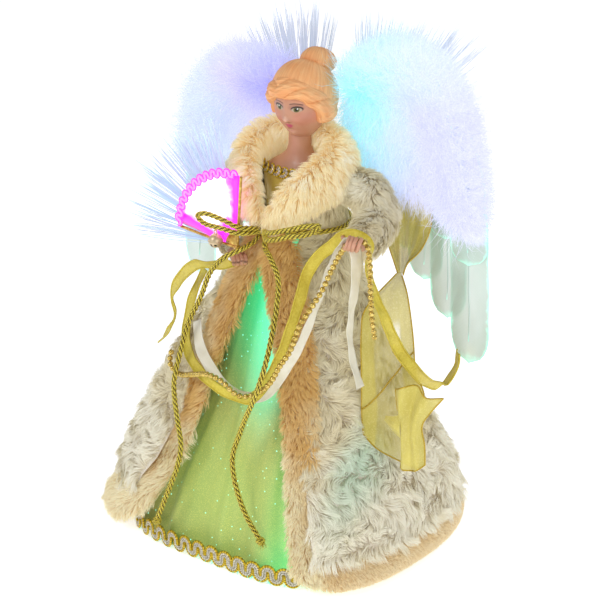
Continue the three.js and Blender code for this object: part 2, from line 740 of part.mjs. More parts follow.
// Each front trim runs down the coat's edge. Stops are [height, angle from the front in degrees, lift].
const LEFT_TRIM = [[207, 33, 0], [170, 40, 0], [112, 41, 0], [50, 43, 0], [9, 46, 0]];
const RIGHT_TRIM = [[192, -44, 0], [156, -29, 0], [117, -29, 0], [62, -31, 0], [36, -36, 4], [16, -49, 13]];

const trimOffset = (z) => TRIM_HALF_DEPTH + foldPeak(z) + 6 * GAP;

function trimCurve(stops) {
  return smoothCurve(stops.map(([z, degrees, lift]) => onFigure(radians(degrees), z, trimOffset(z) + lift)));
}

function frontTrim(stops, grow) {
  return bent(roundBar(10, 12), trimCurve(stops), fromAxis, (a, b, t) => {
    const round = roundedEnds(t, 0.05);
    const half = lerp(TRIM_HALF_WIDTH, TRIM_FOOT_HALF_WIDTH, t ** 4);
    return [a * (half * round + grow), b * (TRIM_HALF_DEPTH * round + grow)];
  });
}

const hemBandZ = HEM_Z + HEM_BAND_HALF_HEIGHT - 1;
function hemBand() {
  const points = Array.from({ length: 25 }, (_, i) => {
    const angle = radians(lerp(46, 310, i / 24));
    return onFigure(angle, HEM_Z, foldPeak(HEM_Z) + 2 * GAP + HEM_BAND_HALF_DEPTH).setZ(hemBandZ);
  });
  return bent(roundBar(8, 26), smoothCurve(points), fromAxis, (a, b) => [
    a * HEM_BAND_HALF_HEIGHT,
    b * HEM_BAND_HALF_DEPTH,
  ]);
}

const COLLAR_LEFT = [v(7, -35, 231), v(25, -31, 243), v(38, -10, 257), v(27, 12, 268)];
const mirrored = (p) => v(-p.x, p.y, p.z);
const collarCurve = smoothCurve([...COLLAR_LEFT, v(0, 18, 272), ...COLLAR_LEFT.map(mirrored).reverse()]);

function collar(grow) {
  const outward = (t, p) => v(p.x, p.y, COLLAR_HALF_DEPTH);
  return bent(roundBar(8, 18), collarCurve, outward, (a, b, t) => {
    const fullness = 0.45 + 0.55 * Math.sin(Math.PI * Math.min(t, 1 - t)) ** 0.5;
    return [a * (COLLAR_HALF_WIDTH * fullness + grow), b * (COLLAR_HALF_DEPTH * fullness + grow)];
  });
}

// A sleeve swells from the shoulder to its cuff. Stops are [place, radius].
const LEFT_SLEEVE = [
  [v(34, 2, 247), 13],
  [v(55, 7, 246), 16],
  [v(70, 1, 231), 18],
  [v(70, -25, 217), 21],
];
const RIGHT_SLEEVE = [
  [v(-34, 2, 247), 13],
  [v(-57, 8, 232), 15],
  [v(-56, -10, 212), 14],
  [v(-27, -33, 197), 10],
];

function radiusAlong(stops, t) {
  const at = t * (stops.length - 1);
  const i = Math.min(Math.floor(at), stops.length - 2);
  return lerp(stops[i][1], stops[i + 1][1], at - i);
}

function sleeve(stops, grow) {
  const curve = smoothCurve(stops.map(([place]) => place));
  return bent(roundBar(12, 9), curve, () => v(0, 0, 1), (a, b, t) => {
    const radius = radiusAlong(stops, t) + grow;
    return [a * radius, b * radius];
  });
}

function hand(wrist, palm, thumb) {
  const arm = tube(new THREE.LineCurve3(wrist, palm), WRIST_RADIUS, 8, 1);
  const fist = ball(1, v(0, 0, 0), 10, 6).scale(HAND_RADIUS, HAND_RADIUS * 1.15, HAND_RADIUS * 0.85);
  const finger = tube(new THREE.LineCurve3(palm, thumb), WRIST_RADIUS / 2.4, 6, 1);
  return join(arm, fist.translate(palm.x, palm.y, palm.z), finger);
}

// The front opening of the coat lies between the middles of the two trims
function frontOpening() {
  const edge = (stops, top) => {
    const curve = trimCurve(stops);
    const points = [0, 0.25, 0.5, 0.75, 1].map((t) => curve.getPoint(t));
    return [v(top, 0, COAT_TOP_Z + 5), v(top / 3, 0, WAIST_Z + 12), ...points, v(points[4].x, 0, -5)];
  };
  const left = edge(LEFT_TRIM, 24);
  const right = edge(RIGHT_TRIM, -24).reverse();
  const outline = new THREE.Shape([...left, ...right].map((p) => new THREE.Vector2(p.x, p.z)));
  return new THREE.ExtrudeGeometry(outline, { depth: 200, bevelEnabled: false }).rotateX(Math.PI / 2);
}

const coatHemZ = hemBandZ + HEM_BAND_HALF_HEIGHT + GAP;
const coatDepth = (z) => lerp(COAT_DEPTH_TOP, COAT_DEPTH_HEM, halfSizes(z).down);
const coatBulge = (z) => COAT_BULGE * Math.exp(-(((z - COAT_BULGE_Z) / COAT_BULGE_Z) ** 2) * 2);
const postFront = halfSizes(HUB_Z - POST_RADIUS).depth + GAP;
function hubPost(grow) {
  const axis = new THREE.LineCurve3(v(0, postFront - grow, HUB_Z), v(0, HUB_FRONT_Y + 1, HUB_Z));
  return tube(axis, POST_RADIUS + grow, 12, 1);
}

function rightFullness(angle, z) {
  const away = THREE.MathUtils.radToDeg(angle) - COAT_FULL_ANGLE;
  const around = Math.exp(-((away / COAT_FULL_SPREAD) ** 2));
  return COAT_FULLNESS * Math.sin(Math.PI * halfSizes(z).down) ** 2 * around;
}

function coat() {
  const middle = lerp(COAT_BULGE_Z, WAIST_Z, 0.4);
  const heights = [coatHemZ, COAT_BULGE_Z, middle, WAIST_Z, CORD_Z + 10, COAT_TOP_Z];
  const inside = (z) => foldPeak(z) + lerp(3.5, 6, halfSizes(z).down) * GAP;
  const fullness = (angle, z, offset) => (offset > inside(z) + 1 ? rightFullness(angle, z) : 0);
  const rows = heights.map((z) => [z, inside(z), inside(z) + coatDepth(z) + coatBulge(z)]);
  return cut(
    clothRing(rows, 32, fullness),
    frontOpening(),
    frontTrim(LEFT_TRIM, GAP),
    frontTrim(RIGHT_TRIM, GAP),
    collar(GAP),
    sleeve(LEFT_SLEEVE, GAP),
    sleeve(RIGHT_SLEEVE, GAP),
    hubPost(GAP),
    neckBraid(GAP),
    bundleHole,
  );
}

const trims = [frontTrim(LEFT_TRIM, GAP), frontTrim(RIGHT_TRIM, GAP)];
const bodiceBlock = figureBlock(WAIST_Z, SHOULDER_Z + GAP, GAP);
add("hem_braid", cut(hemBraid(), ...trims), GOLD_TRIM);
add("coat", coat(), WHITE_PLUSH);
add("coat_trim_left", frontTrim(LEFT_TRIM, 0), BEIGE_FUR);
add("coat_trim_right", cut(frontTrim(RIGHT_TRIM, 0), sleeve(RIGHT_SLEEVE, GAP)), BEIGE_FUR);
add("coat_hem_band", cut(hemBand(), ...trims), BEIGE_FUR);
add("collar", cut(collar(0), bodiceBlock, head(GAP), hair(GAP), neckBraid(GAP)), BEIGE_FUR);
add("sleeve_left", cut(sleeve(LEFT_SLEEVE, 0), collar(GAP), bodiceBlock), WHITE_PLUSH);
add("sleeve_right", cut(sleeve(RIGHT_SLEEVE, 0), collar(GAP), bodiceBlock), WHITE_PLUSH);

// Hands, fan with its braid, fibres and bell

const LEFT_WRIST = v(74, -26, 225);
const LEFT_PALM = v(74, -40, 229);
const LEFT_THUMB = v(69, -44, 236);
const RIGHT_WRIST = v(-29, -32, 197);
const RIGHT_PALM = v(-14, -44, 200);
const RIGHT_THUMB = v(-10, -43, 206);

const fanPoint = (degrees, radius, y) =>
  v(FAN_PIVOT.x + radius * Math.cos(radians(degrees)), y, FAN_PIVOT.z + radius * Math.sin(radians(degrees)));

function fanLeaf() {
  const leaf = new THREE.BoxGeometry(1, 1, 1, 2 * FAN_PLEATS, 1, 2);
  return warp(leaf, (p) => {
    const column = Math.round((p.x + 0.5) * 2 * FAN_PLEATS);
    const radius = lerp(FAN_INNER_RADIUS, FAN_RADIUS, p.z + 0.5);
    const pleat = (column % 2 ? 1 : -1) * FAN_PLEAT_DEPTH * (radius / FAN_RADIUS);
    return fanPoint(lerp(FAN_TO, FAN_FROM, p.x + 0.5), radius, FAN_PIVOT.y + pleat + p.y * FAN_LEAF);
  });
}

// Two guard sticks that meet at the rivet
function fanSticks() {
  const stick = (degrees) => {
    const path = new THREE.LineCurve3(FAN_PIVOT, fanPoint(degrees, FAN_RADIUS, FAN_PIVOT.y));
    return tube(path, FAN_STICK / 2, 6, 1);
  };
  const through = v(0, FAN_STICK, 0);
  const pin = new THREE.LineCurve3(FAN_PIVOT.clone().sub(through), FAN_PIVOT.clone().add(through));
  const rivet = tube(pin, FAN_STICK, 10, 1);
  const beside = THREE.MathUtils.radToDeg(Math.asin((FAN_STICK / 2 + 2 * GAP) / FAN_INNER_RADIUS));
  return join(stick(FAN_FROM - beside), stick(FAN_TO + beside), rivet);
}

function fanBraid() {
  const points = Array.from({ length: 9 }, (_, i) =>
    fanPoint(lerp(FAN_FROM, FAN_TO, i / 8), FAN_RADIUS + FAN_BRAID_RADIUS + GAP, FAN_PIVOT.y),
  );
  return tube(smoothCurve(points), FAN_BRAID_RADIUS, 8, 14);
}

// One straight three-sided fibre
function fibre(from, to) {
  const along = to.clone().sub(from);
  const rodUp = new THREE.CylinderGeometry(FIBRE_RADIUS, FIBRE_RADIUS, along.length(), 3);
  rodUp.applyQuaternion(new THREE.Quaternion().setFromUnitVectors(v(0, 1, 0), along.clone().normalize()));
  return rodUp.translate(...from.clone().lerp(to, 0.5).toArray());
}

// A spray of fibres that leave one block and spread without crossing.
// Each layer is [lean, count]; tip(share, lean) gives where a fibre ends.
function spray(block, layers, foot, tip) {
  const fibres = [];
  for (const [lean, count] of layers) {
    for (let i = 0; i < count; i++) {
      const share = (i + 0.5) / count;
      fibres.push(fibre(foot(share, lean), tip(share, lean)));
    }
  }
  return join(block, ...fibres);
}

const fanFibreY = FAN_PIVOT.y + FAN_PLEAT_DEPTH + FAN_LEAF + 1.6;
function fanFibres() {
  const block = box(
    v(FAN_PIVOT.x - 9, fanFibreY - 1, FAN_PIVOT.z + 1),
    v(FAN_PIVOT.x + 1, fanFibreY + 2.4, FAN_PIVOT.z + 8),
  );
  const foot = (share, lean) => fanPoint(lerp(110, 176, share), 5.5, fanFibreY + lean);
  const tip = (share, lean) => {
    const reach = 76 + 22 * share + 8 * Math.sin(40 * share + 3 * lean);
    return fanPoint(lerp(112, 186, share), reach, fanFibreY + 2.5 * lean);
  };
  return spray(block, [[0, 12], [1, 11]], foot, tip);
}

const bellReach = Math.hypot(BELL_X - FAN_PIVOT.x, BELL_Z - FAN_PIVOT.z) + BELL_RADIUS;
const bellPleat = FAN_PLEAT_DEPTH * (bellReach / FAN_RADIUS);
const bellY = FAN_PIVOT.y - bellPleat - FAN_LEAF / 2 - GAP - BELL_RADIUS;
function bell() {
  const body = ball(BELL_RADIUS, v(BELL_X, bellY, BELL_Z), 12, 8);
  const under = v(BELL_X, bellY, BELL_Z - BELL_RADIUS);
  const slot = new THREE.BoxGeometry(BELL_SLOT, 4 * BELL_RADIUS, 2 * BELL_SLOT_DEPTH);
  slot.translate(under.x, under.y, under.z);
  const loop = new THREE.TorusGeometry(1.3, 0.45, 5, 9).rotateX(Math.PI / 2);
  return join(cut(body, slot), loop.translate(BELL_X, bellY, BELL_Z + BELL_RADIUS + 1));
}

add("hand_left", cut(hand(LEFT_WRIST, LEFT_PALM, LEFT_THUMB), sleeve(LEFT_SLEEVE, GAP)), SKIN);
add("hand_right", cut(hand(RIGHT_WRIST, RIGHT_PALM, RIGHT_THUMB), sleeve(RIGHT_SLEEVE, GAP)), SKIN);
add("fan_leaf", fanLeaf(), FAN_CLOTH);
add("fan_sticks", fanSticks(), GOLD_TRIM);
add("fan_braid", fanBraid(), GOLD_TRIM);
add("fan_fibres", fanFibres(), FIBRE);
add("bell", bell(), GOLD_TRIM);

// Wings: hub on the back, hinge pins, film plates, marabou edges and fibre sprays

const hubBottomZ = HUB_Z - HUB_HALF_HEIGHT;
const hubTopZ = HUB_Z + HUB_HALF_HEIGHT;
const sides = [["left", 1], ["right", -1]];

function wingHub() {
  const plate = box(
    v(-HUB_HALF_WIDTH, HUB_FRONT_Y, hubBottomZ),
    v(HUB_HALF_WIDTH, HUB_FRONT_Y + HUB_DEPTH, hubTopZ),
  );
  const pieces = [plate, hubPost(0)];
  for (const [, side] of sides) {
    for (const from of [hubBottomZ, hubTopZ - LUG_HEIGHT]) {
      const arm = box(
        v(Math.min(0, side * HINGE_X), HUB_FRONT_Y, from),
        v(Math.max(0, side * HINGE_X), HUB_FRONT_Y + HUB_DEPTH, from + LUG_HEIGHT),
      );
      pieces.push(arm, rod(LUG_RADIUS, from, from + LUG_HEIGHT, 12, side * HINGE_X, HINGE_Y));
    }
  }
  const pinHoles = sides.map(([, side]) => rod(PIN_RADIUS + GAP, 200, 300, 12, side * HINGE_X, HINGE_Y));
  return cut(join(...pieces), ...pinHoles, bundleHole);
}

function hingePin(side) {
  const head = hubTopZ + GAP;
  const profile = [
    [0, hubBottomZ],
    [PIN_RADIUS, hubBottomZ],
    [PIN_RADIUS, head],
    [2 * PIN_RADIUS, head],
    [2 * PIN_RADIUS, head + PIN_RADIUS],
    [0, head + PIN_RADIUS],
  ];
  return turned(profile, 12, side * HINGE_X, HINGE_Y);
}

// Film feathers that hang from the wing's lower edge: [tip across, tip height, half width]
const FEATHERS = [[77, 186, 10], [97, 166, 10.5], [117, 139, 11]];
const WING_ROOT_X = HINGE_X + BARREL_RADIUS + 2.2;
const WING_ROOT_DROP = 10;
const WING_ROOT_RISE = 34;

function wingOutline() {
  const outline = new THREE.Shape();
  outline.moveTo(WING_ROOT_X, HUB_Z - WING_ROOT_DROP);
  outline.lineTo(WING_ROOT_X, HUB_Z + WING_ROOT_RISE);
  outline.quadraticCurveTo(48, 312, 78, 312);
  outline.quadraticCurveTo(120, 306, 128, 250);
  for (const [across, height, half] of [...FEATHERS].reverse()) {
    outline.lineTo(across + half, height + 2 * half);
    outline.quadraticCurveTo(across + half, height, across, height);
    outline.quadraticCurveTo(across - half, height, across - half + 1, height + 3 * half);
  }
  outline.lineTo(WING_ROOT_X, HUB_Z - WING_ROOT_DROP);
  return outline;
}

function wingPlate(grow) {
  const depth = WING_THICKNESS + 2 * grow;
  const plate = new THREE.ExtrudeGeometry(wingOutline(), { depth, curveSegments: 5, bevelEnabled: false });
  return plate.rotateX(Math.PI / 2).translate(0, WING_FRONT_Y + WING_THICKNESS + grow, 0);
}

function wing() {
  const low = hubBottomZ + LUG_HEIGHT + GAP;
  const high = hubTopZ - LUG_HEIGHT - GAP;
  const barrel = rod(BARREL_RADIUS, low, high, 14, HINGE_X, HINGE_Y);
  const web = box(v(HINGE_X, WING_FRONT_Y + 0.4, low), v(WING_ROOT_X + 4, HINGE_Y, high));
  const bore = rod(PIN_RADIUS + GAP, low - 1, high + 1, 12, HINGE_X, HINGE_Y);
  return cut(join(wingPlate(0), barrel, web), bore);
}

// Marabou is a fluffy roll round the wing's upper edge. Stops are [place, radius].
const MARABOU = [
  [v(30, MARABOU_Y, 300), 11],
  [v(52, MARABOU_Y, 309), 18],
  [v(80, MARABOU_Y, 304), 26],
  [v(100, MARABOU_Y, 284), 27],
  [v(111, MARABOU_Y, 256), 22],
  [v(117, MARABOU_Y, 232), 12],
];

function marabou() {
  const curve = smoothCurve(MARABOU.map(([place]) => place));
  const roll = bent(roundBar(8, 14), curve, () => v(0, -1, 0), (a, b, t) => {
    const radius = radiusAlong(MARABOU, t) * roundedEnds(t, 0.06);
    return [a * radius, b * Math.min(radius, MARABOU_HALF_DEPTH)];
  });
  return cut(roll, wingPlate(GAP));
}

const wingBack = WING_FRONT_Y + WING_THICKNESS + GAP;
function wingFibres() {
  const block = box(v(WING_ROOT_X + 1, wingBack, HUB_Z + 18), v(WING_ROOT_X + 12, wingBack + 8, HUB_Z + 26));
  const foot = (share, lean) => v(WING_ROOT_X + 1.6 + 9.8 * share, wingBack + 5 + 1.2 * lean, HUB_Z + 25);
  const tip = (share, lean) => {
    const angle = radians(lerp(-9, 46, share));
    const reach = 77 + 5 * Math.sin(50 * share + 2 * lean);
    const start = foot(share, lean);
    return v(start.x + reach * Math.sin(angle), start.y + 9 + 5 * lean, start.z + reach * Math.cos(angle));
  };
  return spray(block, [[0, 13], [1, 12]], foot, tip);
}

function onSide(geometry, side) {
  return side > 0 ? geometry : geometry.scale(-1, 1, 1);
}

add("wing_hub", wingHub(), WHITE_PLASTIC);
for (const [name, side] of sides) {
  add(`hinge_pin_${name}`, hingePin(side), STEEL);
  add(`wing_${name}`, onSide(wing(), side), FILM);
  add(`marabou_${name}`, onSide(marabou(), side), DOWN);
  add(`wing_fibres_${name}`, onSide(wingFibres(), side), FIBRE);
}

// Waist cord with its knot and bow

const cordOffset = coatDepth(CORD_Z) + 5 * GAP + CORD_RADIUS;
function waistCord() {
  const ring = new THREE.TorusGeometry(RING_BASE, CORD_RADIUS, 6, 28);
  return warp(ring, (p) => {
    const offset = Math.hypot(p.x, p.y) - RING_BASE + cordOffset;
    return onFigure(Math.atan2(p.x, -p.y), CORD_Z, offset).setZ(CORD_Z + p.z);
  });
}

const knotY = onFigure(0, CORD_Z, cordOffset).y - CORD_RADIUS - GAP - KNOT_RADIUS;
const RIGHT_LOOP = [
  v(0, knotY, 220), v(-7, -52, 224), v(-14, -55, 227), v(-30, -57, 229), v(-36, -57, 226),
  v(-31, -57, 222.5), v(-16, -55, 221.5), v(-7, -52, 220), v(0, knotY, 218.5),
];
const LEFT_LOOP = [
  v(0, knotY, 220), v(14, -48, 224), v(30, -49, 230), v(46, -47, 236), v(53, -45, 237),
  v(48, -47, 232), v(31, -50, 226), v(15, -49, 220), v(0, knotY, 218.5),
];

add("waist_cord", waistCord(), GOLD_TRIM);
add(
  "bow",
  join(
    ball(KNOT_RADIUS, v(0, knotY, CORD_Z), 10, 8),
    tube(smoothCurve(RIGHT_LOOP), CORD_RADIUS, 6, 14),
    tube(smoothCurve(LEFT_LOOP), CORD_RADIUS, 6, 16),
  ),
  GOLD_TRIM,
);

// Cord ends, ribbons, beads and scarf. Each list runs from where the piece is tied to its free end.

const CORD_END_RIGHT = [
  v(-5, -40, 211), v(-6, -51, 209), v(-12, -58, 205), v(-25, -58, 191), v(-33, -59, 172),
  v(-40, -64, 153), v(-39, -73, 136), v(-38, -80, 120), v(-37, -81, 106), v(-33, -83, 92),
  v(-27, -87, 79), v(-27, -91, 65), v(-34, -94, 44), v(-43, -95, 22),
];
const CORD_END_LEFT = [
  v(5, -40, 210), v(15, -47, 208), v(26, -52, 198), v(28, -56, 180), v(31, -65, 162),
  v(32, -72, 147), v(29, -78, 128), v(20, -76, 111), v(12, -73, 96), v(7, -75, 78),
  v(10, -77, 63), v(20, -79, 44), v(36, -82, 30),
];
const GOLD_RIBBON = [
  v(-52, -34, 179), v(-56, -42, 161), v(-55, -49, 145), v(-45, -60, 136), v(-29, -70, 130),
  v(-9, -75, 124), v(3, -72, 119), v(11, -67, 116), v(20, -65, 123), v(30, -65, 138),
  v(41, -66, 159), v(47, -63, 179), v(48, -57, 193), v(47, -50, 205), v(54, -48, 218),
  v(67, -50, 230), v(79, -53, 240), v(90, -54, 243), v(96, -52, 240), v(96, -49, 235),
  v(91, -46, 226), v(91, -41, 205), v(95, -35, 187), v(97, -27, 169), v(98, -20, 157),
  v(104, -17, 149), v(106, -9, 139), v(104, 4, 130), v(104, 16, 125), v(107, 19, 130),
  v(111, 20, 139), v(112, 20, 149),
];
const IVORY_RIBBON = [
  v(-40, -55, 153), v(-31, -63, 141), v(-18, -69, 133), v(-7, -70, 124), v(2, -66, 117),
  v(8, -59, 114), v(19, -57, 119), v(34, -60, 137), v(43, -60, 151), v(47, -56, 161),
  v(50, -51, 174), v(53, -46, 189), v(58, -44, 206), v(65, -46, 219), v(75, -52, 231),
  v(83, -55, 238), v(87, -54, 234), v(86, -51, 222), v(82, -48, 199), v(77, -45, 176),
  v(78, -44, 159), v(85, -44, 139),
];
const BEAD_STRING = [
  v(-55, -64, 131), v(-54, -67, 123), v(-43, -71, 120), v(-24, -77, 127), v(-7, -82, 134),
  v(5, -82, 133), v(14, -77, 124), v(22, -73, 125), v(35, -72, 136), v(44, -72, 151),
  v(52, -71, 164), v(57, -68, 181), v(61, -63, 191), v(66, -58, 203), v(70, -54, 216),
  v(79, -57, 230), v(88, -60, 240), v(95, -61, 244), v(99, -58, 241), v(99, -55, 230),
  v(98, -52, 209), v(97, -49, 191), v(98, -47, 176),
];
const RIBBON_LOOP = [
  v(-13, -52, 199), v(-22, -52, 195), v(-32, -51, 192), v(-42, -50, 190), v(-52, -48, 184),
  v(-64, -47, 171), v(-71, -46, 158), v(-67, -47, 148), v(-69, -48, 140), v(-76, -47, 131),
  v(-82, -46, 124),
];
// The scarf's stops are [place, width]; it is pinched where it passes under the elbow
const SCARF = [
  [v(81, 21, 233), 22], [v(77, 20, 214), 18], [v(73, 13, 200), 10], [v(74, 4, 190), 24],
  [v(75, -4, 173), 34], [v(79, -9, 153), 38], [v(86, -14, 131), 36], [v(95, -19, 111), 40],
  [v(104, -23, 97), 30], [v(112, -26, 87), 12],
];

function cordEnd(points) {
  const knot = v(0, knotY, CORD_Z);
  const start = points[0].clone().sub(knot).setLength(KNOT_RADIUS + GAP).add(knot);
  const path = smoothCurve([start, ...points]);
  return join(tube(path, CORD_RADIUS, 6, 24), ball(END_KNOT_RADIUS, points.at(-1), 8, 6));
}

function ribbon(points, width, steps) {
  return bent(strip(1, steps), smoothCurve(points), fromAxis, (a, b) => [a * width, b * RIBBON_THICKNESS]);
}

function scarf() {
  const curve = smoothCurve(SCARF.map(([place]) => place));
  const outward = (t) => v(t, -1, 0);
  return bent(strip(4, 18), curve, outward, (a, b, t) => [
    a * radiusAlong(SCARF, t),
    b * SCARF_THICKNESS + SCARF_FOLD * Math.cos(4 * Math.PI * a) * Math.sin(Math.PI * t),
  ]);
}

add("cord_end_right", cordEnd(CORD_END_RIGHT), GOLD_TRIM);
add("cord_end_left", cordEnd(CORD_END_LEFT), GOLD_TRIM);
add("gold_ribbon", ribbon(GOLD_RIBBON, RIBBON_WIDTH, 42), GOLD_SATIN);
add("ivory_ribbon", ribbon(IVORY_RIBBON, IVORY_WIDTH, 30), IVORY_SATIN);
add("ribbon_loop", ribbon(RIBBON_LOOP, RIBBON_WIDTH, 14), GOLD_SATIN);
add("bead_string", tube(smoothCurve(BEAD_STRING), BEAD_RADIUS, 6, 34), GOLD_TRIM);
add("scarf", scarf(), GOLD_SATIN);

export default angel;
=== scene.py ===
# %% [markdown]
# # A lighted angel tree topper
# The topper is a doll in a gold gown and a plush coat. It stands on a hollow cone that slips over the top
# shoot of a tree, and a lamp in the cone lights fibres in its fan, gown and wings. The hard pieces come
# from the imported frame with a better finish. Everything soft is built again here: fur, down, cloth,
# ribbon and cord.

# %% Load the frame
import json
import math

import bmesh
import bpy
import numpy as np
from mathutils import Matrix, Vector
from mathutils.kdtree import KDTree

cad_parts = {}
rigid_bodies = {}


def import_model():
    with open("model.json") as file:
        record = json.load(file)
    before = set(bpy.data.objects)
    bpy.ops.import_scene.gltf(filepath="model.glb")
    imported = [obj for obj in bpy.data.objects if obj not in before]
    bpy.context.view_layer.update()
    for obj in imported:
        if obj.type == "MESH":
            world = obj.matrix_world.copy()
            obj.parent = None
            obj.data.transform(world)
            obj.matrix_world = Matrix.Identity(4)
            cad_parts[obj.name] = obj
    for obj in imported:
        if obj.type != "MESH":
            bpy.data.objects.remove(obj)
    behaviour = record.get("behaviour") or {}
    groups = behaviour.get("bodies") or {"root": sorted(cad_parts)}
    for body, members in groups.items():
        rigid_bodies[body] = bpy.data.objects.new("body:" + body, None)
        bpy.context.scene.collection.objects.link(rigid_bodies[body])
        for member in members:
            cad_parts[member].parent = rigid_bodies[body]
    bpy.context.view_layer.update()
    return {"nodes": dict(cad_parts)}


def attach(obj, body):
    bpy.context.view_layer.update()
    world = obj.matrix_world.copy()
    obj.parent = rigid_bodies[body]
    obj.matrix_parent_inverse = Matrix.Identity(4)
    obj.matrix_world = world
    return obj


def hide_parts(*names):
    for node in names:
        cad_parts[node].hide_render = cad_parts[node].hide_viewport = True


for leftover in list(bpy.data.objects):
    bpy.data.objects.remove(leftover)
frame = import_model()
nodes = frame["nodes"]
scene = bpy.context.scene
MM = 0.001
print("frame loaded:", len(nodes), "nodes")

# %% [markdown]
# ## Camera, light and floor
# The photograph looks down a little from the doll's left front through a long lens, so the camera stands
# well back. A bright sky and three large soft lamps give the even light of a studio, and the floor is
# plain and pale.

# %% Camera
AIM = Vector((0, 0, 160)) * MM
VIEW_TURN = math.radians(40)
VIEW_RISE = math.radians(23)
VIEW_DISTANCE = 1.25
LENS, SENSOR_WIDTH = 115.4, 36

towards = Vector((
    math.sin(VIEW_TURN) * math.cos(VIEW_RISE),
    -math.cos(VIEW_TURN) * math.cos(VIEW_RISE),
    math.sin(VIEW_RISE),
))
camera = bpy.data.objects.new("camera", bpy.data.cameras.new("camera"))
camera.data.lens = LENS
camera.data.sensor_width = SENSOR_WIDTH
camera.location = AIM + VIEW_DISTANCE * towards
camera.rotation_euler = towards.to_track_quat("Z", "Y").to_euler()
scene.collection.objects.link(camera)
scene.camera = camera
scene.view_settings.view_transform = "Standard"

# %% Lights and sky
SKY_STRENGTH, FLOOR_GLOW = 0.34, 0.62


def soft_lamp(name, place, power, size):
    lamp = bpy.data.objects.new(name, bpy.data.lights.new(name, "AREA"))
    lamp.data.energy = power
    lamp.data.size = size
    lamp.location = place
    lamp.rotation_euler = (Vector(place) - AIM).to_track_quat("Z", "Y").to_euler()
    scene.collection.objects.link(lamp)


soft_lamp("key_lamp", (-0.5, -1.5, 1.3), 11, 0.7)
soft_lamp("fill_lamp", (1.5, -0.7, 0.7), 6.2, 0.9)
soft_lamp("back_lamp", (0.5, 1.2, 1.3), 5.6, 0.9)
world = bpy.data.worlds.new("studio")
world.use_nodes = True
sky = world.node_tree.nodes["Background"]
sky.inputs["Color"].default_value = (1, 1, 1, 1)
sky.inputs["Strength"].default_value = SKY_STRENGTH
scene.world = world

# %% [markdown]
# ## Writing materials as sums
# A finish is one material. Its sums are written as plain Python: a term wraps a socket, and adding or
# multiplying terms adds Math nodes. Every other node comes from one method, which takes the node's
# settings and its inputs.

# %% Terms and finishes
class Term:
    """The output of a node, which can be used in sums."""

    def __init__(self, finish, socket):
        self.finish = finish
        self.socket = socket

    def __add__(self, other):
        return self.finish.maths("ADD", self, other)

    def __sub__(self, other):
        return self.finish.maths("SUBTRACT", self, other)

    def __rsub__(self, other):
        return self.finish.maths("SUBTRACT", other, self)

    def __mul__(self, other):
        return self.finish.maths("MULTIPLY", self, other)

    def __truediv__(self, other):
        return self.finish.maths("DIVIDE", self, other)

    def __pow__(self, other):
        return self.finish.maths("POWER", self, other)

    __radd__ = __add__
    __rmul__ = __mul__


def srgb(red, green, blue):
    """A colour from the usual 0 to 255 numbers, as the linear values that sockets take."""
    linear = []
    for level in (red / 255, green / 255, blue / 255):
        linear.append(level / 12.92 if level <= 0.04045 else ((level + 0.055) / 1.055) ** 2.4)
    return (*linear, 1.0)


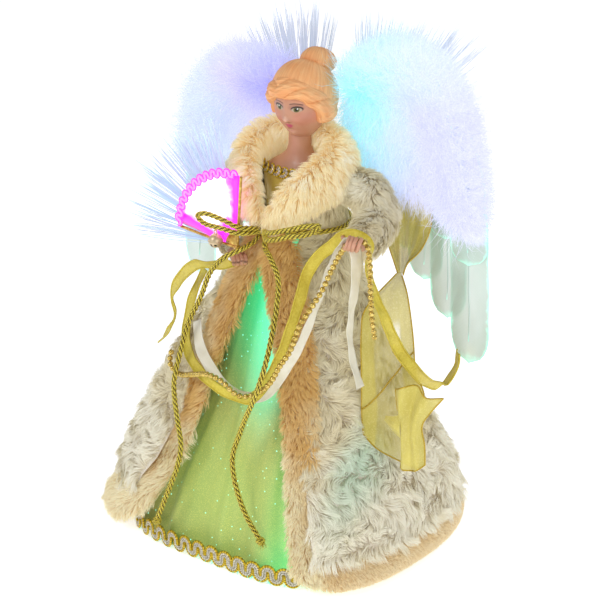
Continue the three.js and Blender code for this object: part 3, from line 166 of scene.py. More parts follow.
class Finish:
    """One material, built from terms."""

    def __init__(self, name, slot, **constants):
        self.material = bpy.data.materials.new(name)
        self.material.use_nodes = True
        self.slot = slot
        self.tree = self.material.node_tree
        self.shader = self.tree.nodes["Principled BSDF"]
        self.set(**constants)

    def node(self, kind, settings=None, inputs=None, output=0):
        made = self.tree.nodes.new("ShaderNode" + kind)
        for key, value in (settings or {}).items():
            if key == "stops":
                while len(made.color_ramp.elements) < len(value):
                    made.color_ramp.elements.new(0.5)
                for element, (position, colour) in zip(made.color_ramp.elements, value):
                    element.position = position
                    element.color = colour
            else:
                setattr(made, key, value)
        for key, value in (inputs or {}).items():
            self.feed(made.inputs[key], value)
        return Term(self, made.outputs[output])

    def feed(self, socket, value):
        if isinstance(value, Term):
            self.tree.links.new(value.socket, socket)
        else:
            socket.default_value = value

    def set(self, **terms):
        for socket, value in terms.items():
            self.feed(self.shader.inputs[socket.replace("_", " ")], value)

    def maths(self, operation, a, b=0.0):
        return self.node("Math", {"operation": operation}, {0: a, 1: b})

    def place(self):
        """Where the point is on the object, in millimetres."""
        coordinates = self.node("TexCoord", output=3)
        return self.node("VectorMath", {"operation": "SCALE"}, {0: coordinates, "Scale": 1000.0})

    def moved(self, vector, at=(0, 0, 0), turn=(0, 0, 0), size=(1, 1, 1)):
        """The vector as seen from another centre, turned and measured in that size."""
        settings = {"vector_type": "TEXTURE"}
        return self.node("Mapping", settings, {0: vector, "Location": at, "Rotation": turn, "Scale": size})

    def split(self, vector):
        whole = self.node("SeparateXYZ", inputs={0: vector})
        return [Term(self, socket) for socket in whole.socket.node.outputs]

    def along_piece(self):
        """The piece's own map: how far across and how far along."""
        return self.split(self.node("TexCoord", output=2))[:2]

    def ease(self, value, low, high, first=0.0, last=1.0):
        """A smooth step from first to last as value goes from low to high."""
        limits = {0: value, 1: low, 2: high, 3: first, 4: last}
        return self.node("MapRange", {"interpolation_type": "SMOOTHSTEP"}, limits)

    def glow_ball(self, at, size):
        """A soft ball of light: 1 in the middle and 0 at its edge."""
        measured = self.moved(self.place(), at=at, size=size)
        far = self.node("VectorMath", {"operation": "LENGTH"}, {0: measured}, 1)
        return self.ease(far, 1.0, 0.0)

    def noise(self, size, detail=2.0, stretch=(1, 1, 1)):
        vector = self.moved(self.place(), size=tuple(size * s for s in stretch))
        return self.node("TexNoise", {}, {"Vector": vector, "Scale": 1.0, "Detail": detail})

    def cells(self, scale):
        """Scattered cells: how far a point is from its cell's middle, and the cell's three random shades."""
        far = self.node("TexVoronoi", {}, {"Vector": self.place(), "Scale": scale, "Randomness": 1.0})
        return far, self.split(Term(self, far.socket.node.outputs["Color"]))

    def mix(self, share, a, b, kind="MIX"):
        settings = {"data_type": "RGBA", "blend_type": kind, "clamp_factor": True}
        return self.node("Mix", settings, {0: share, 6: a, 7: b}, 2)

    def ramp(self, value, *stops):
        return self.node("ValToRGB", {"stops": stops}, {0: value})

    def mottle(self, grain, dark, pale):
        """A colour that shifts from dark to pale with the grain."""
        self.set(Base_Color=self.mix(grain, dark, pale))

    def bump(self, height, distance, strength=1.0):
        inputs = {"Height": height, "Distance": distance * MM, "Strength": strength}
        self.set(Normal=self.node("Bump", {}, inputs))


# %% Floor
floor_finish = Finish("pale_floor", "white_plastic", Roughness=0.9)
DULL_FLOOR, PALE_FLOOR = (0.95, 0.95, 0.95, 1), (0.97, 0.97, 0.97, 1)
floor_tone = floor_finish.ramp(floor_finish.noise(400), (0.3, DULL_FLOOR), (0.7, PALE_FLOOR))
floor_finish.set(Base_Color=floor_tone, Emission_Color=(1, 1, 1, 1), Emission_Strength=FLOOR_GLOW)
bm = bmesh.new()
bmesh.ops.create_grid(bm, x_segments=2, y_segments=2, size=4)
floor_mesh = bpy.data.meshes.new("floor")
bm.to_mesh(floor_mesh)
bm.free()
floor_mesh.materials.append(floor_finish.material)
floor = bpy.data.objects.new("floor", floor_mesh)
scene.collection.objects.link(floor)

# %% [markdown]
# ## Tools for soft pieces
# A ribbon, a roll of fur and a skirt are all one flat grid, bent into place. The grid keeps a map of how
# far each point is across and along, so that a weave or a twist can follow the piece. A route is a smooth
# curve through a few points, measured evenly, with an outward direction that tells which way the piece
# faces.

# %% Routes
DENSE = 24


def smooth_line(points, closed=False):
    """Points on a smooth curve through the given ones, close together."""
    points = np.array(points, float)
    if closed:
        points = np.vstack([points[-1], points, points[:2]])
    else:
        points = np.vstack([2 * points[0] - points[1], points, 2 * points[-1] - points[-2]])
    spots = []
    for p0, p1, p2, p3 in zip(points, points[1:], points[2:], points[3:]):
        gaps = [max(np.linalg.norm(b - a) ** 0.5, 1e-4) for a, b in ((p0, p1), (p1, p2), (p2, p3))]
        pull1 = (p1 - p0) / gaps[0] - (p2 - p0) / (gaps[0] + gaps[1]) + (p2 - p1) / gaps[1]
        pull2 = (p2 - p1) / gaps[1] - (p3 - p1) / (gaps[1] + gaps[2]) + (p3 - p2) / gaps[2]
        pull1, pull2 = pull1 * gaps[1], pull2 * gaps[1]
        t = np.linspace(0, 1, DENSE, endpoint=False)[:, None]
        a, b = 2 * p1 - 2 * p2 + pull1 + pull2, -3 * p1 + 3 * p2 - 2 * pull1 - pull2
        spots.append(p1 + pull1 * t + b * t**2 + a * t**3)
    spots.append(points[-2:-1])
    return np.vstack(spots)


def unit(vectors):
    return vectors / np.maximum(np.linalg.norm(vectors, axis=-1, keepdims=True), 1e-9)


def from_axis(places):
    return places * [1, 1, 0]


def always(*direction):
    """An outward direction that is the same everywhere."""
    return lambda places: np.tile(np.array(direction, float), (len(places), 1))


upward, facing_front = always(0, 0, 1), always(0, -1, 0)


class Route:
    """A smooth curve measured evenly from 0 to 1, with directions along, across and out."""

    def __init__(self, points, outward=from_axis, closed=False):
        self.line = smooth_line(points, closed)
        steps = np.linalg.norm(np.diff(self.line, axis=0), axis=1)
        self.far = np.concatenate([[0], np.cumsum(steps)])
        self.length = self.far[-1]
        self.outward = outward

    def at(self, t):
        far = np.clip(t, 0, 1) * self.length
        return np.stack([np.interp(far, self.far, self.line[:, k]) for k in range(3)], -1)

    def directions(self, t):
        step = 0.6 / self.length
        along = unit(self.at(t + step) - self.at(t - step))
        across = unit(np.cross(along, self.outward(self.at(t))))
        return along, across, np.cross(across, along)

    def points(self, step):
        """Places a step apart along the route, in metres."""
        return self.at(np.linspace(0, 1, max(2, round(self.length / step) + 1))) * MM


# %% Bent grids and finished pieces
SIDES = (("left", 1), ("right", -1))
INSIDE, CENTRED = -1, 0


def bent_grid(across, along, place, join=0.0):
    """A grid of faces whose corners go where place(u, v) says, in millimetres."""
    made = bmesh.new()
    layer = made.loops.layers.uv.new("UVMap")
    bmesh.ops.create_grid(made, x_segments=across, y_segments=along, size=0.5)
    flat = np.array([corner.co for corner in made.verts]) + 0.5
    for face in made.faces:
        for loop in face.loops:
            loop[layer].uv = flat[loop.vert.index][:2]
    for corner, spot in zip(made.verts, place(flat[:, 0], flat[:, 1])):
        corner.co = spot * MM
    if join:
        bmesh.ops.remove_doubles(made, verts=made.verts, dist=join * MM)
    return made


def empty_piece():
    made = bmesh.new()
    made.loops.layers.uv.new("UVMap")
    return made


def add_to(whole, part):
    """Puts one bmesh's faces into another."""
    loose = bpy.data.meshes.new("loose")
    part.to_mesh(loose)
    part.free()
    whole.from_mesh(loose)
    bpy.data.meshes.remove(loose)


def add_ball(made, at, radius, around, rings):
    centre = Matrix.Translation(Vector(at) * MM)
    bmesh.ops.create_uvsphere(made, u_segments=around, v_segments=rings, radius=radius * MM, matrix=centre)


def add_box(made, size, at):
    corners = bmesh.ops.create_cube(made, size=1.0)["verts"]
    bmesh.ops.scale(made, verts=corners, vec=Vector(size) * MM)
    bmesh.ops.translate(made, verts=corners, vec=Vector(at) * MM)


def facing_out(made):
    bmesh.ops.recalc_face_normals(made, faces=made.faces)
    return made


def piece_of(mesh, name, finish, body, stands_for, smooth=True):
    mesh.materials.append(finish.material)
    if smooth:
        mesh.shade_smooth()
    piece = bpy.data.objects.new(name, mesh)
    scene.collection.objects.link(piece)
    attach(piece, body)
    if stands_for:
        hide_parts(*stands_for)
    print(f"{name}: {len(mesh.polygons)} faces")
    return piece


def thicken(piece, thickness, offset=INSIDE):
    """Gives a sheet its thickness, in millimetres."""
    thick = piece.modifiers.new("thickness", "SOLIDIFY")
    thick.thickness = thickness * MM
    thick.offset = offset


def finished(made, name, finish, body="figure", stands_for=(), smooth=True):
    mesh = bpy.data.meshes.new(name)
    made.to_mesh(mesh)
    made.free()
    return piece_of(mesh, name, finish, body, stands_for, smooth)


def tube(route, radius, sides, step, wander=None, ends=0.0):
    """A round tube along a route. wander(t) moves its middle; ends rounds that much of each end."""

    def place(u, v):
        _, across, out = route.directions(v)
        middle = route.at(v)
        if wander:
            sideways, outwards = wander(v)
            middle = middle + across * sideways[:, None] + out * outwards[:, None]
        size = radius(v) if callable(radius) else np.full(len(v), radius)
        if ends:
            near = np.minimum(v, 1 - v) * route.length / ends
            size = size * np.sqrt(np.clip(1 - np.clip(1 - near, 0, 1) ** 2, 0, 1))
        turn = 2 * math.pi * u
        ring = across * np.cos(turn)[:, None] + out * np.sin(turn)[:, None]
        return middle + ring * size[:, None]

    return facing_out(bent_grid(sides, max(3, round(route.length / step)), place, join=0.001))


# %% [markdown]
# ## Gold cord and its free ends
# The waist is tied with a twisted gold cord whose two ends hang down the gown to a knot. Three plies wind
# round a shared middle, as in the real cord, so its lay is real geometry and only the fine yarn is bump.
# A dark yarn in the grooves between them is painted shade.

# %% Gold cord finish
def thread_lines(finish, count, slope):
    """Fine yarn lines that wind round a tube, from its own map."""
    u, v = finish.along_piece()
    return finish.maths("SINE", u * (2 * math.pi * count) + v * slope)


gold_cord = Finish("gold_cord", "gold_trim", Metallic=0.2, Roughness=0.32)
yarn = thread_lines(gold_cord, 5, 500.0)
sheen_spots = gold_cord.noise(1.1, 3)
cord_tone = gold_cord.ramp(
    yarn * 0.3 + sheen_spots,
    (0.25, srgb(120, 90, 2)), (0.5, srgb(218, 188, 18)), (0.72, srgb(255, 244, 110)),
)
# The yarn of painted groove shade is marked on the map, so that one finish serves both.
GROOVE_SHADE_MARK = 2.0
groove_shade_yarn = gold_cord.ease(gold_cord.along_piece()[0], 1.4, 1.6)
gold_cord.set(Base_Color=gold_cord.mix(groove_shade_yarn, cord_tone, srgb(74, 50, 4)))
gold_cord.bump(yarn, 0.12, 0.7)

# %% Twisted cord
CORD_RADIUS = 1.7
CORD_LAY = 11.0
PLIES, FRAYED_YARNS = 3, 16


def twisted(route, radius=CORD_RADIUS, lay=CORD_LAY, step=0.8):
    """Plies that wind round the route once each lay, with dark yarn of painted shade in the grooves between
    them.
    """
    whole = empty_piece()
    offset, ply = radius * 0.58, radius * 0.52

    def winding(start):
        def wander(t):
            turn = start + 2 * math.pi * t * route.length / lay
            return offset * np.cos(turn), offset * np.sin(turn)

        return wander

    for k in range(PLIES):
        add_to(whole, tube(route, ply, 8, step, winding(2 * math.pi * k / PLIES), ends=1.0))
        # Dark yarn in the groove between two plies: painted shade.
        core = tube(route, 0.3 * radius, 4, 1.6 * step, winding(2 * math.pi * (k + 0.5) / PLIES))
        mapped = core.loops.layers.uv.verify()
        for face in core.faces:
            for corner in face.loops:
                corner[mapped].uv.x += GROOVE_SHADE_MARK
        add_to(whole, core)
    return whole


def knot(whole, centre, radius, turns):
    """A ball of wound cord."""
    angle = np.linspace(0, 2 * math.pi * turns, 30 * turns)
    tilt = angle * 0.37
    shell = np.stack([np.cos(angle), np.sin(angle) * np.cos(tilt), np.sin(angle) * np.sin(tilt)], -1)
    wound = Route(np.array(centre) + shell * radius * 0.62, lambda places: places - np.array(centre))
    add_to(whole, twisted(wound, radius * 0.42, 7.0, 0.6))


def frayed_tip(whole, at, heading, rng):
    """The loose yarns past a knot."""
    for _ in range(FRAYED_YARNS):
        swing = rng.normal(0, 0.45, 3)
        tip = unit(np.array(heading) + swing) * rng.uniform(4.0, 6.5)
        middle = np.array(at) + tip * 0.5 + rng.normal(0, 0.4, 3)
        strand = Route([at, middle, np.array(at) + tip], always(0.3, -1, 0.2))
        add_to(whole, tube(strand, lambda t: 0.26 - 0.16 * t, 4, 1.5))


# %% The two free ends
KNOT_Y = -34.8
CORD_Z = 219
KNOT_CENTRE = (0, KNOT_Y, CORD_Z)
KNOT_RADIUS = 3.6
END_KNOT_RADIUS = 3.0
CORD_END_RIGHT = [
    (-2.4, -36.6, 216), (-5, -40, 211), (-6, -51, 209), (-12, -58, 205), (-25, -58, 191), (-33, -59, 172),
    (-40, -64, 153), (-39, -73, 136), (-38, -80, 120), (-37, -81, 106), (-33, -83, 92),
    (-27, -87, 79), (-27, -91, 65), (-34, -94, 44), (-43, -95, 22),
]
CORD_END_LEFT = [
    (2.4, -36.6, 215.6), (5, -40, 210), (15, -47, 208), (26, -52, 198), (28, -56, 180), (31, -65, 162),
    (32, -72, 147), (29, -78, 128), (20, -76, 111), (12, -73, 96), (7, -75, 78),
    (10, -77, 63), (20, -79, 44), (36, -82, 30),
]
for side, stops in (("right", CORD_END_RIGHT), ("left", CORD_END_LEFT)):
    route = Route(stops)
    end = finished(twisted(route), f"gold_cord_end_{side}", gold_cord, stands_for=[f"cord_end_{side}"])
    made = empty_piece()
    knot(made, stops[-1], END_KNOT_RADIUS, 3)
    heading = np.array(stops[-1], float) - np.array(stops[-2])
    frayed_tip(made, stops[-1], unit(heading), np.random.default_rng(len(stops)))
    tied = finished(made, f"gold_cord_knot_{side}", gold_cord)
    tuple(route.at(np.array([0.0]))[0] * MM)
    route.points(2.0).tolist()
    print(f"cord end {side}: {route.length:.0f} mm")

# %% [markdown]
# ## Ribbons and beads
# A sheer gold ribbon with wired edges, an ivory satin ribbon and a string of gold beads hang together
# from the left hand across the gown. A ribbon is a bent grid, with a thin wire down each edge; its middle
# lets some light through, as sheer ribbon does. The beads are small balls on a thread.

# %% Ribbon finishes
def woven(finish, size):
    """Over and under threads, as a height."""
    x, y = finish.along_piece()
    warp = finish.maths("SINE", x * (2 * math.pi * size[0]))
    weft = finish.maths("SINE", y * (2 * math.pi * size[1]))
    return warp * weft


gold_ribbon_finish = Finish("gold_ribbon_weave", "gold_satin", Metallic=0.15, Roughness=0.4)
weave = woven(gold_ribbon_finish, (9, 260))
across_ribbon, _ = gold_ribbon_finish.along_piece()
edge = gold_ribbon_finish.ease(gold_ribbon_finish.maths("ABSOLUTE", across_ribbon - 0.5), 0.36, 0.47)
ribbon_tone = gold_ribbon_finish.mix(
    gold_ribbon_finish.noise(1.3, 3), srgb(206, 178, 18), srgb(255, 242, 104)
)
gold_ribbon_finish.set(
    Base_Color=gold_ribbon_finish.mix(edge, ribbon_tone, srgb(206, 176, 26)),
    Alpha=0.8 + edge * 0.2,
)
gold_ribbon_finish.bump(weave, 0.1, 0.5)

ivory_finish = Finish("ivory_ribbon_satin", "ivory_satin", Roughness=0.34, Sheen_Weight=0.3)
rib = ivory_finish.maths("SINE", ivory_finish.along_piece()[1] * 2600.0)
ivory_finish.mottle(ivory_finish.noise(9), srgb(226, 218, 190), srgb(250, 247, 234))
ivory_finish.bump(rib, 0.05, 0.35)

# %% Ribbons
RIBBON_THICKNESS = 0.35


def ribbon(route, width, curl, wire):
    """A flat strip along a route, a little hollow across and slowly turning, with a wire down each edge."""

    def place(u, v):
        _, across, out = route.directions(v)
        turn = (0.75 * np.sin(v * route.length / 42 + 0.8))[:, None]
        across, out = across * np.cos(turn) + out * np.sin(turn), out * np.cos(turn) - across * np.sin(turn)
        side = u - 0.5
        lift = curl * (4 * side**2 - 0.5) + 0.35 * np.sin(9 * v * route.length / 30 + 3 * side)
        return route.at(v) + across * (side * width)[:, None] + out * lift[:, None]

    whole = bent_grid(10, round(route.length / 1.5), place)
    if wire:
        run = np.linspace(0, 1, round(route.length / 5))
        for edge in (0.0, 1.0):
            edge_route = Route(place(np.full(len(run), edge), run), route.outward)
            add_to(whole, tube(edge_route, wire, 5, 2.0))
    return whole


RIBBON_WIDTH = 6.6
IVORY_WIDTH = 7.5
GOLD_RIBBON = [
    (-52, -34, 179), (-56, -42, 161), (-55, -49, 145), (-45, -60, 136), (-29, -70, 130),
    (-9, -75, 124), (3, -72, 119), (11, -67, 116), (20, -65, 123), (30, -65, 138),
    (41, -66, 159), (47, -63, 179), (48, -57, 193), (47, -50, 205), (54, -48, 218),
    (66, -49, 229), (76, -49, 238), (86, -49, 240), (92, -47, 237), (93, -45, 232),
    (91, -46, 226), (91, -41, 205), (95, -35, 187), (97, -27, 169), (98, -20, 157),
    (104, -17, 149), (106, -9, 139), (104, 4, 130), (104, 16, 125), (107, 19, 130),
    (111, 20, 139), (112, 20, 149),
]
IVORY_RIBBON = [
    (-40, -55, 153), (-31, -63, 141), (-18, -69, 133), (-7, -70, 124), (2, -66, 117),
    (8, -59, 114), (19, -57, 119), (34, -60, 137), (43, -60, 151), (47, -56, 161),
    (50, -51, 174), (53, -46, 189), (58, -44, 206), (65, -46, 219), (72, -48, 229),
    (80, -51, 236), (84, -50, 232), (85, -49, 221), (82, -48, 199), (77, -45, 176),
    (78, -44, 159), (85, -44, 139),
]
RIBBON_LOOP = [
    (-13, -52, 199), (-22, -52, 195), (-32, -51, 192), (-42, -50, 190), (-52, -48, 184),
    (-64, -47, 171), (-71, -46, 158), (-67, -47, 148), (-69, -48, 140), (-76, -47, 131),
    (-82, -46, 124),
]
RIBBONS = [
    ("gold_ribbon", GOLD_RIBBON, RIBBON_WIDTH, gold_ribbon_finish, 0.45),
    ("ivory_ribbon", IVORY_RIBBON, IVORY_WIDTH, ivory_finish, 0.0),
    ("ribbon_loop", RIBBON_LOOP, RIBBON_WIDTH, gold_ribbon_finish, 0.45),
]
for node, stops, width, finish, wire in RIBBONS:
    route = Route(stops)
    strip = finished(ribbon(route, width, 0.5, wire), f"{node}_cloth", finish, stands_for=[node])
    thicken(strip, RIBBON_THICKNESS, CENTRED)
    tuple(route.at(np.array([0.0]))[0] * MM)
    route.points(3.0).tolist()
    print(f"{node}: {route.length:.0f} mm")

# %% Bead string
BEAD_RADIUS = 1.9
BEAD_PITCH = 3.95
BEAD_STRING = [
    (-55, -64, 131), (-54, -67, 123), (-43, -71, 120), (-24, -77, 127), (-7, -82, 134),
    (5, -82, 133), (14, -77, 124), (22, -73, 125), (35, -72, 136), (44, -72, 151),
    (52, -71, 164), (57, -68, 181), (61, -63, 191), (66, -58, 203), (70, -54, 216),
    (76, -53, 228), (84, -55, 237), (90, -55, 241), (95, -53, 239), (97, -52, 228),
    (98, -52, 209), (97, -49, 191), (98, -47, 176),
]
bead_gold = Finish("bead_gold", "gold_trim", Metallic=0.75, Roughness=0.26)
bead_gold.set(
    Base_Color=bead_gold.ramp(bead_gold.noise(1.6, 3), (0.3, srgb(176, 142, 50)), (0.7, srgb(238, 214, 128)))
)
route = Route(BEAD_STRING)
made = tube(route, 0.45, 5, 2.5)
for spot in route.at((np.arange(round(route.length / BEAD_PITCH)) + 0.5) / round(route.length / BEAD_PITCH)):
    add_ball(made, spot, BEAD_RADIUS, 12, 8)
beads = finished(made, "gold_bead_string", bead_gold, stands_for=["bead_string"])
tuple(route.at(np.array([0.0]))[0] * MM)
route.points(2.0).tolist()
print(f"bead string: {route.length:.0f} mm")

# %% [markdown]
# ## The figure's outline
# Gown, coat and trims all follow one body shape: a rounded square hem that narrows to the waist and
# widens to the shoulders. An angle is measured from the front towards the doll's left.

# %% Body shape
HEM_Z, WAIST_Z, SHOULDER_Z = 3.0, 212.0, 250.0
HEM_HALF, WAIST_HALF, SHOULDER_HALF = (88.0, 83.0), (24.0, 20.0), (27.0, 17.0)
HEM_SQUARENESS = 0.8
CORNER_FLARE, CORNER_ANGLE, CORNER_SPREAD = 15.0, -52.0, 30.0
FOLD_COUNT, FOLD_DEPTH = 15, 2.4
GAP = 0.3


def down_share(z):
    return np.clip((WAIST_Z - z) / (WAIST_Z - HEM_Z), 0, 1)


def on_figure(degrees, z, offset):
    """Places on the body at an angle and a height, standing off by an offset."""
    degrees, z = np.broadcast_arrays(np.asarray(degrees, float), np.asarray(z, float))
    angle, down = np.radians(degrees), down_share(z)
    up = np.clip((z - WAIST_Z) / (SHOULDER_Z - WAIST_Z), 0, 1)
    width, depth = (
        WAIST_HALF[k] + (HEM_HALF[k] - WAIST_HALF[k]) * down + (SHOULDER_HALF[k] - WAIST_HALF[k]) * up
        for k in (0, 1)
    )
    power = 2 + HEM_SQUARENESS * down
    s, c = np.sin(angle), np.cos(angle)
    plain = (np.abs(s / width) ** power + np.abs(c / depth) ** power) ** (-1 / power)
    away = (degrees - CORNER_ANGLE + 180) % 360 - 180
    radius = plain + CORNER_FLARE * down * np.exp(-((away / CORNER_SPREAD) ** 2)) + offset
    return np.stack([radius * s, -radius * c, z], -1)


def fold_peak(z):
    return FOLD_DEPTH * down_share(z)


# %% [markdown]
# ## Fur
# Plush, fur and down are thousands of separate hairs. Blender's own hair would not be in the exported
# model, so each hair is a thin tapering strip of a few faces on a skin that lies below the pile. Hairs
# lean over, and they draw together in tufts, which gives real fur its clumps and shadows. They are far
# too many for one-by-one operators, so their corners are worked out as arrays.

# %% Hair strips
def hair_mesh(name, lines, sides, widths, shades):
    """One tapering strip for each line of points. The map holds a hair's shade and how far along it is."""
    count, rows, _ = lines.shape
    steps = rows - 1
    half = sides * widths[..., None] / 2
    corners = np.empty((count, 2 * steps + 1, 3))
    corners[:, 0:-1:2] = (lines - half)[:, :-1]
    corners[:, 1:-1:2] = (lines + half)[:, :-1]
    corners[:, -1] = lines[:, -1]
    loops, starts = [], []
    for i in range(steps - 1):
        starts.append(len(loops))
        loops += [2 * i, 2 * i + 1, 2 * i + 3, 2 * i + 2]
    starts.append(len(loops))
    loops += [2 * steps - 2, 2 * steps - 1, 2 * steps]
    loops = np.array(loops)
    first = np.arange(count)[:, None]
    mesh = bpy.data.meshes.new(name)
    mesh.vertices.add(count * corners.shape[1])
    mesh.vertices.foreach_set("co", (corners * MM).astype(np.float32).ravel())
    mesh.loops.add(count * len(loops))
    mesh.loops.foreach_set("vertex_index", (first * corners.shape[1] + loops).astype(np.int32).ravel())
    mesh.polygons.add(count * steps)
    mesh.polygons.foreach_set("loop_start", (first * len(loops) + np.array(starts)).astype(np.int32).ravel())
    mesh.update(calc_edges=True)
    spots = np.empty((count, len(loops), 2))
    spots[..., 0] = shades[:, None]
    spots[..., 1] = np.minimum(loops // 2, steps) / steps
    mesh.uv_layers.new(name="UVMap").uv.foreach_set("vector", spots.astype(np.float32).ravel())
    return mesh


def hair_piece(name, grown, shades, finish, body="figure", stands_for=()):
    """A piece of hairs, from their lines, sides and widths."""
    return piece_of(hair_mesh(name, *grown, shades), name, finish, body, stands_for)


def scatter(place, hint, count, rng):
    """Points spread evenly over a bent skin: where, which way is out, which way it runs, and its area."""
    u, v = rng.random((2, 3 * count))
    small = 2e-3
    right = place(np.minimum(u + small, 1), v) - place(np.maximum(u - small, 0), v)
    ahead = place(u, np.minimum(v + small, 1)) - place(u, np.maximum(v - small, 0))
    out = np.cross(right, ahead)
    share = np.linalg.norm(out, axis=1)
    area = share.mean() / (2 * small) ** 2
    keep = rng.choice(len(u), count, replace=False, p=share / share.sum())
    u, v, out, ahead = u[keep], v[keep], unit(out[keep]), unit(ahead[keep])
    spots = place(u, v)
    facing = np.sign((out * hint(spots, v)).sum(1))[:, None]
    return spots, out * facing, ahead, area


def grow(spots, out, lean, length, width, rng, rise=0.8, reach=0.7, wave=0.12, tufts=0, tuft=0.5, steps=3):
    """Hairs that rise from the skin, lean over and gather in tufts: their lines, sides and widths."""
    count = len(spots)
    lean = unit(lean - out * (lean * out).sum(1)[:, None])
    aside = np.cross(out, lean)
    long = length * rng.uniform(0.72, 1.12, count)
    phase = rng.uniform(0, 2 * math.pi, count)
    s = np.linspace(0, 1, steps + 1)[None, :]
    up = np.broadcast_to(rise, count)[:, None] * long[:, None] * s * (1.6 - 0.6 * s)
    over = reach * long[:, None] * s**1.5
    swing = wave * long[:, None] * np.sin(phase[:, None] + 3.2 * s) * s
    lines = (
        spots[:, None]
        + out[:, None] * up[..., None]
        + lean[:, None] * over[..., None]
        + aside[:, None] * swing[..., None]
    )
    if tufts:
        tree = KDTree(tufts)
        for i in range(tufts):
            tree.insert(spots[i], i)
        tree.balance()
        nearest = np.array([tree.find(spot)[1] for spot in spots])
        lines += (lines[nearest] - lines) * (tuft * s**1.2)[..., None]
    heading = unit(np.gradient(lines, axis=1))
    spin = rng.normal(0, 0.5, count)
    broad = out * np.cos(spin)[:, None] + aside * np.sin(spin)[:, None]
    sides = unit(np.cross(heading, broad[:, None]))
    widths = width * rng.uniform(0.7, 1.25, count)[:, None] * (1 - 0.75 * s**1.6)
    return lines, sides, widths


def drift(spots, out, sizes, seed):
    """Directions that wander over a skin in smooth waves round straight down, as combed pile lies."""
    rng = np.random.default_rng(seed)
    turn = np.zeros(len(spots))
    for size, amount in sizes:
        for _ in range(3):
            wave = unit(rng.normal(0, 1, 3)) * 2 * math.pi / size
            turn += amount * np.sin(spots @ wave + rng.uniform(0, 2 * math.pi))
    down = unit(np.array([0, 0, -1.0]) + out * out[:, 2:])
    return down * np.cos(turn)[:, None] + np.cross(out, down) * np.sin(turn)[:, None]


# Light scatters between real hairs, which strips can't show, so fur gives back a little of its own.
FUR_GLOW, COLLAR_GLOW = 0.05, 0.12


def fur_finish(name, slot, root, tip, patch, patch_size, lit_at=None):
    """Hair that is darker at its root, with broad patches. lit_at is where the lamp tints it."""
    finish = Finish(name, slot, Roughness=0.8, Sheen_Weight=0.2)
    shade, far = finish.along_piece()
    tone = finish.mix(finish.ease(far, 0.0, 0.7), root, tip)
    height = finish.split(finish.place())[2]
    patches = finish.ease(finish.noise(patch_size, 2) + finish.ease(height, 50.0, 120.0) * 0.3, 0.5, 0.8)
    tone = finish.mix(patches, tone, patch, "MULTIPLY")
    tone = finish.mix(0.25 * shade, tone, root)
    if lit_at:
        tone = finish.mix(finish.glow_ball(*lit_at) * 0.45, tone, srgb(176, 226, 204))
    finish.set(Base_Color=tone, Emission_Color=tone, Emission_Strength=FUR_GLOW)
    return finish


beige_fur = fur_finish(
    "beige_fur_hair", "beige_fur", srgb(240, 211, 154), srgb(255, 248, 216), srgb(238, 208, 150), 40,
)
hem_fur = fur_finish(
    "hem_fur_hair", "beige_fur", srgb(232, 208, 158), srgb(252, 237, 200), srgb(242, 224, 182), 50,
)
collar_fur = fur_finish(
    "collar_fur_hair", "beige_fur", srgb(250, 232, 192), srgb(255, 253, 238), srgb(252, 244, 222), 20,
)
collar_fur.set(Emission_Strength=COLLAR_GLOW)
white_plush = fur_finish(
    "white_plush_hair", "white_plush", srgb(228, 218, 192), srgb(255, 252, 236), srgb(242, 236, 218), 34,
    lit_at=((80, -40, 90), (17, 50, 96)),
)


def skin_finish(name, slot, dark, pale):
    finish = Finish(name, slot, Roughness=0.95)
    finish.mottle(finish.noise(1.5, 3), dark, pale)
    finish.bump(finish.noise(0.8, 2), 0.4)
    return finish


beige_skin = skin_finish("beige_fur_backing", "beige_fur", srgb(228, 200, 156), srgb(246, 224, 186))
white_skin = skin_finish("white_plush_backing", "white_plush", srgb(230, 220, 202), srgb(246, 239, 226))


# %% Rolls of fur
def spaced(t, values):
    """Values set out evenly from 0 to 1, read at t."""
    return np.interp(t, np.linspace(0, 1, len(values)), values)


def rounded_ends(t, share):
    missing = np.clip(1 - np.minimum(t, 1 - t) / share, 0, 1)
    return np.sqrt(1 - 0.94 * missing**2)


def roll(route, half):
    """A fat soft roll along a route. half(t) gives its half width and half depth; inset pulls its skin in."""

    def place(u, v, inset=0.0):
        _, across, out = route.directions(v)
        wide, deep = half(v)
        turn = 2 * math.pi * u
        wide, deep = np.maximum(wide - inset, 0.5), np.maximum(deep - inset, 0.5)
        return (
            route.at(v)
            + across * (np.cos(turn) * wide)[:, None]
            + out * (np.sin(turn) * deep)[:, None]
        )

    return place


def furry_roll(
    name, node, route, half, pile, count, lean, skin, hair, seed, width=0.5, tuft_size=5.0, back=-1.0,
    **growth,
):
    """A backing and its hairs, which stand for one node. Hairs on the side of the body are left out."""
    place = roll(route, half)
    inset = pile * 0.75

    def skin_at(u, v):
        return place(u, v, inset)

    backing = facing_out(bent_grid(24, max(12, round(route.length / 4)), skin_at, join=0.01))
    finished(backing, f"{name}_backing", skin, stands_for=[node])
    rng = np.random.default_rng(seed)
    spots, out, along, area = scatter(skin_at, lambda at, v: at - route.at(v), count, rng)
    shown = (out * unit(route.outward(spots))).sum(1) > back
    spots, out, along = spots[shown], out[shown], along[shown]
    way = lean(spots, out, along) + rng.normal(0, 0.25, spots.shape)
    grown = grow(spots, out, way, pile, width, rng, tufts=round(area / tuft_size**2), **growth)
    return hair_piece(f"{name}_fur", grown, rng.random(len(spots)), hair)


# %% [markdown]
# ## Coat trims, collar and hem band
# Beige fur runs down both front edges, round the hem and over the shoulders as a shawl collar. Each is a
# roll of fur whose pile falls outwards and down.

# %% Front trims
TRIM_HALF_DEPTH, TRIM_PILE, TRIM_HAIRS = 8.0, 7.0, 38000
